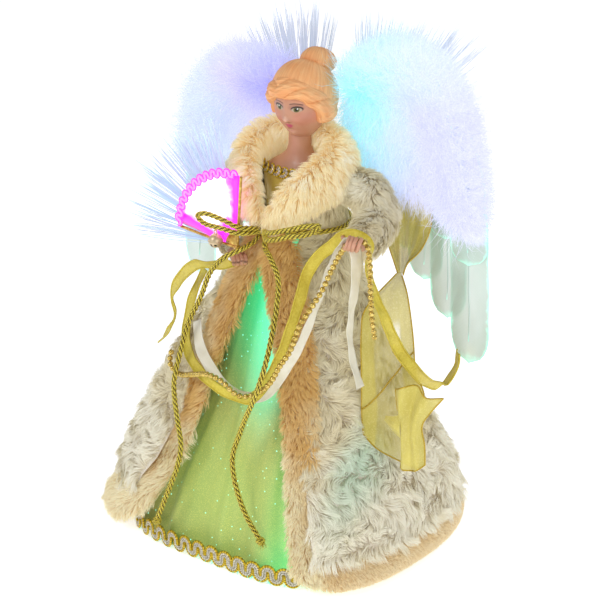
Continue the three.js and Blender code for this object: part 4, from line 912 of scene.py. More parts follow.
# Stops of a trim: how high, the angle round the body, and how far it stands off.
LEFT_TRIM = [(219, 10, 0), (206, 16, 0), (188, 25, 0), (162, 34, 0), (112, 40, 0), (50, 43, 0), (9, 46, 0)]
LEFT_TRIM_WIDTHS = [16, 15, 14, 15, 19]
RIGHT_TRIM = [
    (214, -10, 0), (202, -17, 0), (182, -25, 0), (152, -29, 0), (117, -29, 0), (62, -31, 0), (36, -36, 4),
    (16, -49, 13),
]
RIGHT_TRIM_WIDTHS = [12, 17, 17, 16, 19]


def trim_route(stops):
    z, degrees, lift = np.array(stops, float).T
    return Route(on_figure(degrees, z, TRIM_HALF_DEPTH + fold_peak(z) + 6 * GAP + lift))


def trim_half(widths):
    def half(t):
        ends = rounded_ends(t, 0.05)
        return spaced(t, widths) * ends, TRIM_HALF_DEPTH * ends

    return half


TRIMS = [("left", LEFT_TRIM, LEFT_TRIM_WIDTHS, 11), ("right", RIGHT_TRIM, RIGHT_TRIM_WIDTHS, 12)]
for side, stops, widths, seed in TRIMS:
    furry_roll(
        f"coat_trim_{side}", f"coat_trim_{side}", trim_route(stops), trim_half(widths), TRIM_PILE, TRIM_HAIRS,
        lambda spots, out, along: along * 0.7 + drift(spots, out, ((40, 0.5), (16, 0.45)), 21) * 0.9,
        beige_skin, beige_fur, seed, width=0.45, tuft_size=3.2, back=-0.4, tuft=0.42,
    )

# %% Hem band
HEM_BAND_HALF_HEIGHT, HEM_BAND_HALF_DEPTH = 11.5, 7.0
HEM_PILE, HEM_HAIRS = 3.4, 60000
HEM_BAND_Z = HEM_Z + HEM_BAND_HALF_HEIGHT - 1
hem_stops = on_figure(np.linspace(46, 310, 25), HEM_Z, fold_peak(HEM_Z) + 2 * GAP + HEM_BAND_HALF_DEPTH)
hem_stops[:, 2] = HEM_BAND_Z
furry_roll(
    "coat_hem", "coat_hem_band", Route(hem_stops),
    lambda t: (HEM_BAND_HALF_HEIGHT * rounded_ends(t, 0.02), HEM_BAND_HALF_DEPTH * rounded_ends(t, 0.02)),
    HEM_PILE, HEM_HAIRS, lambda spots, out, along: along * 0.6 + [0, 0, -0.8], beige_skin, hem_fur, 13,
    width=0.5, tuft_size=2.6, back=-0.35, tuft=0.4, steps=2,
)

# %% Shawl collar
COLLAR_PILE, COLLAR_HAIRS = 8.5, 31000
COLLAR_LEFT = [(4, -37, 224), (14.5, -36.5, 234), (27, -29, 247), (34, -10, 258), (25, 10, 265)]
COLLAR_RIGHT = [(-25, 10, 265), (-32, -11, 258), (-22, -27, 246), (-10.5, -34, 234), (-3, -36, 224)]
collar_stops = COLLAR_LEFT + [(0, 15, 268)] + COLLAR_RIGHT
collar_route = Route(collar_stops, lambda places: places * [1, 1, 0] + [0, 0, 8.5])
COLLAR_WIDTHS, COLLAR_DEPTHS = [9, 14.5, 18, 17.5, 16.5], [7, 10, 11, 11, 11]


def collar_half(t):
    from_end = np.minimum(t, 1 - t) * 2
    ends = rounded_ends(t, 0.03)
    return spaced(from_end, COLLAR_WIDTHS) * ends, spaced(from_end, COLLAR_DEPTHS) * ends


def falls_from_neck(spots, out, along):
    return spots * [1, 1, 0] / 40 + [0, 0, -0.9]


furry_roll(
    "shawl_collar", "collar", collar_route, collar_half, COLLAR_PILE, COLLAR_HAIRS, falls_from_neck,
    beige_skin, collar_fur, 14, width=0.52, tuft_size=3.4, back=-2.0, tuft=0.42,
)

# %% Sleeves
SLEEVE_PILE, SLEEVE_HAIRS, PLUSH_WIDTH = 8.0, 17500, 0.58
PLUSH_WAVES = ((46, 0.5), (24, 0.75), (14, 0.45))
LEFT_SLEEVE = [((32, 0, 247), 14), ((50, 4, 245), 16), ((63, -1, 233), 16), ((74, -31, 225), 14)]
RIGHT_SLEEVE = [((-34, 2, 247), 13), ((-57, 8, 232), 15), ((-56, -10, 212), 14), ((-27, -33, 197), 10)]


def swelling(stops):
    radii = [radius for _, radius in stops]

    def half(t):
        radius = spaced(t, radii) * rounded_ends(t, 0.09)
        return radius, radius

    return half


for side, stops, seed in (("left", LEFT_SLEEVE, 15), ("right", RIGHT_SLEEVE, 16)):
    furry_roll(
        f"sleeve_{side}", f"sleeve_{side}", Route([spot for spot, _ in stops], upward), swelling(stops),
        SLEEVE_PILE, SLEEVE_HAIRS,
        lambda spots, out, along: drift(spots, out, PLUSH_WAVES, 24) + along * 0.5, white_skin, white_plush,
        seed, width=PLUSH_WIDTH, tuft_size=3.2, tuft=0.34, rise=0.55, reach=0.9,
    )

# %% [markdown]
# ## Coat
# The coat is long-pile plush, combed so that its pile lies in waves. The skin follows the body's outline,
# swells above the hem and stops at the front trims. The hairs are made in three stretches, because one
# would be too large.

# %% Coat
COAT_THICKNESS, COAT_PILE, COAT_TUFT_AREA = 1.2, 7.0, 17
COAT_HAIR = COAT_PILE * 1.4
COAT_HEIGHTS = [25.5, 48.0, 113.6, 212.0, 229.0, 252.0]
COAT_BULGE_Z, COAT_BULGE = 48.0, 11.0
COAT_DEPTH_TOP, COAT_DEPTH_HEM = 6.6, 15.0
COAT_FULLNESS, COAT_FULL_ANGLE, COAT_FULL_SPREAD = 14.0, -68.0, 36.0
LEFT_EDGE = ([9, 50, 112, 170, 207, 226, 252], [46, 43, 41, 40, 36, 46, 84])
RIGHT_EDGE = ([16, 36, 62, 117, 156, 192, 226, 252], [-47, -36, -31, -29, -29, -34, -44, -84])


def coat_stand(z):
    """How far the coat's pile stands off the body at a height."""
    at = np.array(COAT_HEIGHTS)
    inside = fold_peak(at) + (3.5 + 2.5 * down_share(at)) * GAP
    depth = COAT_DEPTH_TOP + (COAT_DEPTH_HEM - COAT_DEPTH_TOP) * down_share(at)
    bulge = COAT_BULGE * np.exp(-2 * ((at - COAT_BULGE_Z) / COAT_BULGE_Z) ** 2)
    return np.interp(z, at, inside + depth + bulge)


def coat_skin(u, v):
    z = COAT_HEIGHTS[0] + (COAT_HEIGHTS[-1] - COAT_HEIGHTS[0]) * v
    left, right = np.interp(z, *LEFT_EDGE), np.interp(z, *RIGHT_EDGE) + 360
    degrees = left + (right - left) * u
    away = degrees - 360 - COAT_FULL_ANGLE
    full = COAT_FULLNESS * np.sin(math.pi * down_share(z)) ** 2 * np.exp(-((away / COAT_FULL_SPREAD) ** 2))
    return on_figure(degrees, z, coat_stand(z) + full - COAT_PILE * 0.7)


made = facing_out(bent_grid(110, 50, coat_skin))
coat_cloth = finished(made, "coat_backing", white_skin, stands_for=["coat"])
thicken(coat_cloth, COAT_THICKNESS)

HAIRS_OF_STRETCH = 34500
for k, stretch in enumerate(("left", "back", "right")):
    rng = np.random.default_rng(17 + k)
    spots, out, _, area = scatter(
        lambda u, v: coat_skin((k + u) / 3, v), lambda at, v: from_axis(at), HAIRS_OF_STRETCH, rng
    )
    way = drift(spots, out, PLUSH_WAVES, 25) + rng.normal(0, 0.15, spots.shape)
    puff = 0.5 + 0.14 * np.sin(spots @ [0.24, 0.13, 0.2]) + 0.1 * np.sin(spots @ [-0.16, 0.3, 0.37])
    grown = grow(
        spots, out, way, COAT_HAIR, PLUSH_WIDTH, rng, rise=puff, reach=1.0,
        tufts=round(area / COAT_TUFT_AREA), tuft=0.5,
    )
    hair_piece(f"coat_fur_{stretch}", grown, rng.random(HAIRS_OF_STRETCH), white_plush)

# %% [markdown]
# ## Gown
# The gown is sheer gold organza over a lining, gathered in folds and lit from inside by the lamp: mint
# green high in the middle, yellow-green below. Its glitter is a scatter of tiny lit cells. The bodice is
# plain gold satin.

# %% Skirt
organza = Finish("gown_organza", "organza", Roughness=0.45, Sheen_Weight=0.2)
threads = woven(organza, (900, 330))
tone = organza.mix(organza.noise(16, 3, (1, 1, 4)), srgb(150, 162, 78), srgb(188, 190, 108))
gold_grain = organza.ease(organza.noise(0.55, 3), 0.48, 0.66)
tone = organza.mix(gold_grain * 0.6, tone, srgb(232, 216, 120))
high_glow = organza.glow_ball((4, -38, 180), (40, 70, 104))
organza.set(Base_Color=organza.mix(high_glow * 0.85, tone, srgb(44, 150, 98)))
lit = organza.mix(organza.glow_ball((0, -86, 56), (90, 60, 100)), srgb(6, 22, 6), srgb(78, 128, 58))
lit = organza.mix(organza.glow_ball((54, -74, 70), (36, 60, 110)), lit, srgb(60, 190, 112))
lit = organza.mix(organza.glow_ball((64, -74, 8), (44, 50, 44)), lit, srgb(20, 210, 128))
lit = organza.mix(high_glow, lit, srgb(14, 210, 132))
lit = organza.mix(organza.glow_ball((12, -46, 168), (24, 58, 108)), lit, srgb(104, 246, 200))
cell, (cell_shade, _, _) = organza.cells(0.5)
clustered = cell_shade + organza.noise(24, 2) * 0.3
glint = organza.ease(cell, 0.3, 0.16) * organza.ease(clustered, 1.06, 1.09)
organza.set(Emission_Color=organza.mix(glint, lit, srgb(130, 255, 236)), Emission_Strength=1.1)
organza.bump(threads + gold_grain * 0.8, 0.1, 0.4)


def skirt_place(u, v):
    degrees = 360 * u
    z = HEM_Z + (WAIST_Z - HEM_Z) * v
    angle = np.radians(degrees)
    deep = FOLD_DEPTH * down_share(z)
    fold = deep * np.cos(FOLD_COUNT * angle + 0.5 * np.sin(3 * angle) * (1 - v))
    small = 0.5 * deep * (np.sin(41 * angle + 2.5 * np.sin(9 * v)) - 1)
    return on_figure(degrees, z, np.minimum(fold + 0.6 * small, deep))


made = facing_out(bent_grid(300, 48, skirt_place, join=0.01))
SKIRT_THICKNESS, BODICE_THICKNESS = 0.5, 0.6
skirt = finished(made, "gown_skirt_cloth", organza, stands_for=["gown_skirt"])
thicken(skirt, SKIRT_THICKNESS)

# %% Bodice
satin = Finish("bodice_satin", "gold_satin", Roughness=0.3, Sheen_Weight=0.4, Metallic=0.12)
satin.mottle(satin.noise(7, 2, (1, 1, 3)), srgb(166, 140, 40), srgb(216, 194, 92))
satin.bump(satin.noise(5, 2, (0.6, 1, 3)), 0.5, 0.6)


def bodice_place(u, v):
    degrees = 360 * u
    z = WAIST_Z + GAP + (SHOULDER_Z - WAIST_Z - GAP) * v
    pull = 0.5 * np.sin(np.radians(degrees) * 22) * (1 - v) ** 2 - 0.4
    return on_figure(degrees, z, pull)


made = facing_out(bent_grid(180, 24, bodice_place, join=0.01))
bodice = finished(made, "bodice_cloth", satin, stands_for=["bodice"])
thicken(bodice, BODICE_THICKNESS)

# %% [markdown]
# ## Gimp braid
# The hem, the neckline and the fan are edged with gimp: a silver band with a gold thread down each side
# that bends to and fro, or goes round in loops at the neckline. Each thread is a tube beside the band's
# own route.

# %% Gimp
def thread_finish(name, dark, pale, metal=0.55):
    finish = Finish(name, "gold_trim", Metallic=metal, Roughness=0.36)
    stitch = finish.maths("SINE", finish.along_piece()[1] * 1600.0)
    finish.set(Base_Color=finish.ramp(finish.noise(0.8, 3) + stitch * 0.12, (0.25, dark), (0.7, pale)))
    finish.bump(stitch, 0.12, 0.6)
    return finish


silver_thread = thread_finish("gimp_silver", srgb(132, 124, 104), srgb(240, 236, 222))
gold_thread = thread_finish("gimp_gold", srgb(120, 92, 8), srgb(236, 206, 50))


def gimp(name, node, base, pattern, period, cord, silver, gold):
    """Silver and gold threads side by side. pattern(turn) moves them along, across and out."""
    whole_silver, whole_gold = bmesh.new(), bmesh.new()
    waves = round(base.length / period)
    turn = np.linspace(0, 2 * math.pi * waves, waves * 16 + 1)
    ahead, across, lift = pattern(turn)
    t = turn / turn[-1]
    _, side, out = base.directions(t)
    middle = base.at(np.clip(t + ahead / base.length, 0, 1)) + side * across[:, None] + out * lift[:, None]
    band = Route(middle, base.outward)
    for whole, places, size in ((whole_silver, (-0.95, 0.95), 1.0), (whole_gold, (-2.6, 2.6), 1.1)):
        for place in places:

            def beside(v, place=place):
                return np.full(len(v), place * cord), np.zeros(len(v))

            add_to(whole, tube(band, cord * size, 6, 1.0, beside))
    finished(whole_silver, f"{name}_silver", silver, stands_for=[node])
    finished(whole_gold, f"{name}_gold", gold)


def serpentine(reach, period):
    return lambda turn: (-0.075 * period * np.sin(2 * turn), reach * np.sin(turn), 0.0 * turn)


def loops(reach, lift):
    return lambda turn: (reach * 1.15 * np.sin(turn), reach * np.cos(turn), lift * np.sin(turn + 0.6))


HEM_BRAID_HEIGHT, HEM_BRAID_DEPTH, HEM_BRAID_REACH = 11.0, 2.0, 42.0
hem_offset = fold_peak(HEM_Z) + 2 * GAP + HEM_BRAID_DEPTH / 2
hem_line = on_figure(np.linspace(-HEM_BRAID_REACH, HEM_BRAID_REACH, 15), HEM_Z, hem_offset)
hem_line[:, 2] = HEM_Z + HEM_BRAID_HEIGHT / 2
gimp("hem_braid", "hem_braid", Route(hem_line), serpentine(3.9, 11.4), 11.4, 0.86, silver_thread, gold_thread)

NECK_BRAID_RADIUS = 2.1
neck_line = on_figure(np.linspace(0, 360, 37)[:-1], SHOULDER_Z, NECK_BRAID_RADIUS / 2 - 0.2)
neck_line[:, 2] = SHOULDER_Z + NECK_BRAID_RADIUS + GAP
neck_route = Route(neck_line, closed=True)
gimp("neckline_braid", "neckline_braid", neck_route, loops(2.4, 0.9), 5.6, 0.5, silver_thread, gold_thread)

# %% Light at the hem
# A few fibres end under the hem and show as bright specks below the braid.
hem_light = Finish("hem_fibre_light", "fibre", Roughness=0.3)
far = hem_light.along_piece()[1]
hem_light.mottle(far, srgb(150, 230, 210), srgb(90, 240, 220))
hem_lit = hem_light.mix(far, srgb(20, 110, 90), srgb(30, 240, 205))
hem_light.set(Emission_Color=hem_lit, Emission_Strength=0.9)
rng = np.random.default_rng(23)
HEM_FIBRES = 44
degrees = rng.uniform(-40, 40, HEM_FIBRES)
feet = on_figure(degrees, 5.0, fold_peak(5.0) - 1.0)
spread = degrees + rng.normal(0, 1.2, HEM_FIBRES)
tips = on_figure(spread, 2.5, fold_peak(3.0) + rng.uniform(0.5, 4.5, HEM_FIBRES))
tips[:, 2] = rng.uniform(0.4, 2.6, HEM_FIBRES)
lines = np.stack([feet, (feet + tips) / 2 + [0, 0, 0.4], tips], 1)
widths = np.full((HEM_FIBRES, 3), 0.8)
sides = unit(np.cross(tips - feet, from_axis(feet)))[:, None].repeat(3, 1)
hair_piece("hem_fibre_ends", (lines, sides, widths), rng.random(HEM_FIBRES), hem_light)

# %% [markdown]
# ## Doll
# The head is moulded and painted. It starts as a ball, is drawn into an egg, and small swells and hollows
# make the brow, eyes, nose, cheeks, lips and chin. The paint is masks in the head's own directions: iris,
# lash line, brow, lip and a soft blush.

# %% Painted skin
HEAD_AT = (2.0, 0.5, 295.0)
HEAD_PITCH, HEAD_YAW = 0.17, 0.12
HEAD_HALF = (17.3, 18.9, 23.3)

skin_paint = Finish("painted_skin", "skin", Roughness=0.42, Coat_Weight=0.12)
on_head = skin_paint.moved(skin_paint.place(), at=HEAD_AT, turn=(HEAD_PITCH, 0, HEAD_YAW))
face_x, face_y, face_z = skin_paint.split(on_head)
beside = skin_paint.maths("ABSOLUTE", face_x)
front = skin_paint.ease(face_y, -6.0, -10.0)


def paint_oval(x, z, wide, high, soft=0.25):
    """1 inside an oval on both sides of the face, 0 outside."""
    far = ((beside - x) / wide) ** 2.0 + ((face_z - z) / high) ** 2.0
    return skin_paint.ease(far, 1.0 + soft, 1.0 - soft) * front


EYE_X, EYE_Z = 6.3, 2.4
LIP_Z = -9.0
blush = paint_oval(9.5, -4.0, 6.0, 4.5, 0.9) * 0.32
# Painted shade in the crease above each eye.
lid_crease_shade = paint_oval(EYE_X, EYE_Z + 1.7, 4.4, 2.6, 0.7) * 0.45
lash_line = paint_oval(EYE_X + 0.2, EYE_Z + 0.55, 3.7, 1.75)
opening = paint_oval(EYE_X, EYE_Z - 0.1, 3.2, 1.3)
iris, pupil = (paint_oval(EYE_X - 0.1, EYE_Z + 0.1, size, size) * opening for size in (1.75, 0.85))
eye_light = paint_oval(EYE_X + 0.5, EYE_Z + 0.6, 0.42, 0.42)
brow_arch = face_z + (beside - 5.6) ** 2.0 * 0.06 - (EYE_Z + 4.2)
brow_line = skin_paint.ease(skin_paint.maths("ABSOLUTE", brow_arch), 0.6, 0.2)
brow = brow_line * paint_oval(6.4, EYE_Z + 3.9, 4.2, 2.0) * 0.8
lips = paint_oval(0.9, LIP_Z + 0.6, 2.0, 0.85, 0.45) + paint_oval(0.0, LIP_Z - 0.6, 2.2, 1.0, 0.45)
# Painted light on the nose: a painted highlight on its tip, a painted shadow under it and painted shade in
# the nostrils.
nose_light = paint_oval(0.0, -3.6, 1.5, 2.0, 0.9) * 0.55
nose_shadow = paint_oval(0.0, -6.2, 2.5, 0.8, 0.9) * 0.5
nostril_shade = paint_oval(1.5, -6.0, 0.7, 0.4, 0.6) * 0.45
PAINT_LAYERS = [
    (blush, (206, 112, 98)), (lid_crease_shade, (146, 94, 86)), (lash_line, (52, 32, 24)),
    (opening, (188, 168, 146)), (iris, (96, 94, 36)), (pupil, (14, 12, 10)), (eye_light, (250, 250, 246)),
    (brow, (92, 56, 36)), (lips * 0.9, (192, 78, 106)), (nose_light, (240, 196, 170)),
    (nose_shadow, (138, 84, 66)), (nostril_shade, (120, 70, 58)),
]
tone = skin_paint.mix(skin_paint.noise(9, 3), srgb(194, 138, 108), srgb(212, 158, 130))
for mask, colour in PAINT_LAYERS:
    tone = skin_paint.mix(mask, tone, srgb(*colour))
skin_paint.set(Base_Color=tone)
skin_paint.bump(skin_paint.noise(0.5, 3), 0.05, 0.3)


# %% Head and neck
def bulge(x, z, x0, z0, wide, high, amount):
    return amount * np.exp(-(((np.abs(x) - x0) / wide) ** 2) - ((z - z0) / high) ** 2)


# A form is a place on the face (aside and up), its half width and height, and how far it stands out.
BROW, SOCKET, EYEBALL = (6.0, 7.0, 4.0, 1.6, 0.5), (EYE_X, 2.8, 3.6, 2.6, -1.7), (EYE_X, 2.4, 2.3, 1.5, 0.9)
BRIDGE, NOSE, NOSTRIL = (0, 2.0, 1.7, 4.5, 1.0), (0, -3.8, 2.1, 2.2, 3.1), (2.0, -4.6, 1.1, 1.1, 0.9)
CHEEK, CHIN, CHIN_DIP = (8.4, -4.4, 4.6, 4.2, 1.2), (0, -16.8, 4.2, 3.4, 1.8), (0, -12.8, 3.4, 1.2, -0.5)
UPPER_LIP, LOWER_LIP, MOUTH = (0, -8.2, 2.4, 0.9, 0.8), (0, -10.0, 2.0, 0.9, 0.9), (0, -9.1, 2.4, 0.35, -0.4)
FACE_FORMS = [
    BROW, SOCKET, EYEBALL, BRIDGE, NOSE, NOSTRIL, CHEEK, CHIN, CHIN_DIP, UPPER_LIP, LOWER_LIP, MOUTH,
]


def tilted(points):
    """From the head's own directions to the figure's."""
    turn = np.array(Matrix.Rotation(HEAD_YAW, 3, "Z") @ Matrix.Rotation(HEAD_PITCH, 3, "X"))
    return np.asarray(points, float) @ turn.T + HEAD_AT


made = empty_piece()
bmesh.ops.create_uvsphere(made, u_segments=112, v_segments=88, radius=1.0)
ball = np.array([corner.co for corner in made.verts])
x, y, z = ball.T
taper = 1 - 0.24 * np.maximum(0, -z) ** 1.5
egg_y = y * HEAD_HALF[1] * taper - 2 * np.maximum(0, -z)
egg = np.stack([x * HEAD_HALF[0] * taper, egg_y, z * HEAD_HALF[2]], -1)
on_face = np.clip(-y * 2.2 - 0.3, 0, 1)
for form in FACE_FORMS:
    egg[:, 1] -= on_face * bulge(egg[:, 0], egg[:, 2], *form)
for corner, spot in zip(made.verts, tilted(egg)):
    corner.co = spot * MM
NECK_RINGS = [250.3, 253.3, 257.3, 262, 267, 276, 284, 291]
NECK_WIDTHS = [24.4, 21.2, 14.6, 9.0, 7.4, 7.0, 7.2, 8.0]
NECK_DEPTHS = [14.4, 12.6, 9.8, 8.0, 7.2, 7.0, 7.2, 8.0]


def neck_place(u, v):
    z = NECK_RINGS[0] + (NECK_RINGS[-1] - NECK_RINGS[0]) * v
    wide, deep = np.interp(z, NECK_RINGS, NECK_WIDTHS), np.interp(z, NECK_RINGS, NECK_DEPTHS)
    turn = 2 * math.pi * u
    return np.stack([wide * np.sin(turn), -deep * np.cos(turn), z], -1)


neck = bent_grid(48, 40, neck_place, join=0.01)
bmesh.ops.smooth_vert(neck, verts=neck.verts, factor=0.5, use_axis_x=True, use_axis_y=True, use_axis_z=False)
add_to(made, facing_out(neck))
finished(made, "doll_head", skin_paint, stands_for=["head"])

# %% [markdown]
# ## Hair
# The hair is moulded: a dome combed back to a bun, and a fat wave rolled up round the face. Both are
# grids of directions round the bun, so that the comb lines run to it. The wave swells into locks that
# lean outwards.

# %% Hair
def hair_finish(name, comb_size):
    """Painted hair with comb lines. The size is a line's width and length on the piece's own map."""
    finish = Finish(name, "hair", Roughness=0.5, Specular_IOR_Level=0.35)
    combed = finish.moved(finish.node("TexCoord", output=2), size=(*comb_size, 1))
    strands = finish.node("TexNoise", {}, {"Vector": combed, "Scale": 1.0, "Detail": 3.0})
    comb_grooves_and_shade = finish.ease(strands, 0.4, 0.62)
    tone = finish.mix(finish.noise(6, 3), srgb(250, 166, 102), srgb(255, 208, 150))
    # The comb grooves are painted a darker orange as shade.
    finish.set(Base_Color=finish.mix(comb_grooves_and_shade * 0.32, tone, srgb(214, 126, 68)))
    finish.bump(comb_grooves_and_shade, -0.3, 0.7)
    return finish


hair_paint = hair_finish("painted_hair", (0.012, 0.6))
wave_paint = hair_finish("painted_hair_wave", (0.14, 0.09))
HAIR_HALF = np.array([19.6, 21.2, 23.2])
HAIR_CENTRE = np.array([0, 1.5, 1.5])
BUN_AT = np.array([2.0, 18.0, 20.0])
BUN_RADIUS = 11.4
bun_axis = unit(np.array([0, 13.0, 20.5]))
bun_front = unit(np.array([0, -1.0, 0.6]) - bun_axis * (np.array([0, -1.0, 0.6]) @ bun_axis))
bun_side = np.cross(bun_axis, bun_front)


def round_bun(turn, tip):
    """Directions by the angle round the bun's axis and the angle away from it."""
    ring = bun_front * np.cos(turn)[:, None] + bun_side * np.sin(turn)[:, None]
    return bun_axis * np.cos(tip)[:, None] + ring * np.sin(tip)[:, None]


def on_hair(heading, stand):
    radius = 1 / np.linalg.norm(heading / HAIR_HALF, axis=1) + stand
    return tilted(HAIR_CENTRE + heading * radius[:, None])


def dome_place(u, v):
    turn = 2 * math.pi * u
    face = np.clip(np.cos(turn), 0, 1)
    heading = round_bun(turn, v * np.radians(106 - 18 * face**2))
    swell = 2.2 * np.sin(math.pi * np.clip(v, 0, 1)) ** 0.8
    return on_hair(heading, swell - 4.5 * np.clip((v - 0.9) / 0.1, 0, 1) ** 2)


WAVE_REACH = 264.0
# The hairline and the groove behind the wave: degrees from the bun, by degrees round it from mid-face.
HAIRLINE = ([0, 30, 58, 80, 104, 150], [101, 103, 113, 130, 128, 112])
GROOVE = ([0, 60, 150], [64, 73, 98])


def wave_place(u, v):
    """From the hairline up over the wave to the groove behind it. Its locks are twisted like a rope."""
    from_middle = WAVE_REACH * (u - 0.5)
    aside = np.abs(from_middle)
    edge = np.interp(aside, *HAIRLINE) + 1.8 * np.sin(17 * u + 0.6) + 1.4 * np.sin(41 * u)
    tip = edge + (np.interp(aside, *GROOVE) - edge) * v + 4 * np.sin(math.pi * v) * (1 - v)
    parted = np.abs(u - 0.44) * 2
    lock = np.abs(np.sin(math.pi * (1.5 * v - 3.6 * parted + 0.15))) ** 0.55
    small = np.abs(np.sin(math.pi * (6.0 * v - 9.0 * parted))) ** 0.7
    ends = np.sqrt(np.clip(1 - np.abs(2 * u - 1) ** 4, 0, 1))
    crest = np.sin(math.pi * np.clip(v, 0, 1) ** 0.9) ** 0.75
    base = np.interp(v, [0, 0.12, 0.9, 1], [-2.6, -0.4, 0.6, 0.0])
    stand = (1.3 + 2.7 * lock + 0.45 * small) * crest * ends + base
    return on_hair(round_bun(np.radians(from_middle), np.radians(tip)), stand)


def bun_place(u, v):
    turn, tip = 2 * math.pi * u, math.pi * v
    heading = round_bun(turn, tip)
    wound = np.abs(np.sin(1.5 * turn + 1.4 * tip)) ** 0.5
    flat = heading * (BUN_RADIUS * (0.93 + 0.1 * wound * np.sin(tip)))[:, None]
    return tilted(BUN_AT + flat - bun_axis * (flat @ bun_axis)[:, None] * 0.2)


made = facing_out(bent_grid(200, 70, dome_place, join=0.01))
add_to(made, facing_out(bent_grid(120, 50, bun_place, join=0.01)))
finished(made, "doll_hair", hair_paint, stands_for=["hair"])
finished(bent_grid(240, 56, wave_place), "doll_hair_wave", wave_paint)

# %% [markdown]
# ## Hands
# Each hand is moulded with its fingers curled round what it holds: wrist, palm, four fingers and a thumb.

# %% Hands
WRIST_RADIUS = 4.2
PALM_HALF = (5.2, 5.6, 3.8)


def hand(name, node, wrist, palm, thumb, grip):
    """grip lists how far a finger goes from its root: ahead, up and aside."""
    wrist, palm, thumb = (np.array(p, float) for p in (wrist, palm, thumb))
    ahead = unit(palm - wrist)
    side = unit(np.cross(ahead, [0, 0, 1]))
    top = np.cross(side, ahead)
    whole = empty_piece()
    turn = Matrix((side, ahead, top)).transposed().to_4x4()
    shape = turn @ Matrix.Diagonal((*PALM_HALF, 1))
    place = Matrix.Scale(MM, 4) @ Matrix.Translation(Vector(palm - ahead)) @ shape
    bmesh.ops.create_uvsphere(whole, u_segments=24, v_segments=16, radius=1.0, matrix=place)
    facing = always(*top)
    forearm = Route([wrist, (wrist + palm) / 2, palm], facing)
    add_to(whole, tube(forearm, lambda t: WRIST_RADIUS - 0.8 * t, 14, 1.5))
    for k in range(4):
        root = palm + side * (k - 1.5) * 2.5 + ahead * 2.2 + top * 0.8
        shorter = 1 - 0.09 * abs(k - 1.3)
        bend = [root] + [root + ahead * a * shorter + top * b + side * c for a, b, c in grip]
        add_to(whole, tube(Route(bend, facing), lambda t: 1.6 - 0.4 * t, 10, 0.8, ends=1.2))
    bend = [palm - ahead * 1.5, (palm + thumb) / 2 + side * 0.6, thumb]
    add_to(whole, tube(Route(bend, facing), lambda t: 1.8 - 0.5 * t, 10, 0.8, ends=1.2))
    return finished(whole, name, skin_paint, stands_for=[node])


# The left hand reaches under the ribbons and holds them from in front. The right one grips the fan.
ROUND_RIBBONS = [(7.0, -1.5, -2.5), (14.0, 0.0, -6.0), (17.4, 4.0, -8.0), (15.5, 7.5, -8.5)]
CLOSED = [(4.2, 0.4, 0.0), (5.4, -2.6, 0.0), (2.6, -4.6, 0.0)]
hand("doll_hand_left", "hand_left", (74, -26, 225), (79, -46, 231), (74, -50, 238), ROUND_RIBBONS)
hand("doll_hand_right", "hand_right", (-29, -32, 197), (-14, -44, 200), (-10, -43, 206), CLOSED)

# %% [markdown]
# ## Fan
# The right hand holds a small pleated fan that is lit from behind: white in the middle and magenta at its
# edges. Gimp runs round its arc, gold sticks hold it, and a spray of light fibres stands out behind it. A
# bell hangs in front of the rivet.

# %% Fan leaf and sticks
FAN_PIVOT = np.array([-11.0, -48.0, 208.0])
FAN_RADIUS, FAN_INNER = 48.0, 10.0
FAN_FROM, FAN_TO, FAN_PLEATS, FAN_PLEAT_DEPTH = 88.0, 174.0, 11, 1.2
LEAF_THICKNESS = 0.5


def fan_point(degrees, radius, y):
    angle = np.radians(degrees)
    x = FAN_PIVOT[0] + radius * np.cos(angle)
    z = FAN_PIVOT[2] + radius * np.sin(angle)
    return np.stack(np.broadcast_arrays(x, y, z), -1)


fan_lit = Finish("fan_lit_cloth", "fan_cloth", Roughness=0.6)
u, v = fan_lit.along_piece()
rim = fan_lit.maths("MAXIMUM", fan_lit.ease(u, 0.72, 0.98), fan_lit.ease(u, 0.26, 0.06))
rim = fan_lit.maths("MAXIMUM", rim, fan_lit.ease(v, 0.42, 0.1))
rim = fan_lit.ease(rim + (fan_lit.noise(7, 3) - 0.5) * 0.9, 0.15, 0.85)
foot = fan_lit.ease(u, 0.09, 0.03) * fan_lit.ease(v, 0.3, 0.6)
fan_lit.set(Base_Color=fan_lit.mix(rim, srgb(250, 244, 252), srgb(226, 80, 220)))
lit = fan_lit.mix(rim, srgb(255, 250, 255), srgb(240, 24, 226))
fan_lit.set(Emission_Color=fan_lit.mix(foot, lit, srgb(120, 70, 60)), Emission_Strength=1.5)


def fan_place(u, v):
    radius = FAN_INNER + (FAN_RADIUS - FAN_INNER) * v
    zigzag = 2 * np.abs((u * FAN_PLEATS) % 1 * 2 - 1) - 1
    y = FAN_PIVOT[1] + zigzag * FAN_PLEAT_DEPTH * radius / FAN_RADIUS
    return fan_point(FAN_TO + (FAN_FROM - FAN_TO) * u, radius, y)


leaf = finished(bent_grid(4 * FAN_PLEATS, 12, fan_place), "fan_leaf_cloth", fan_lit, stands_for=["fan_leaf"])
thicken(leaf, LEAF_THICKNESS, CENTRED)

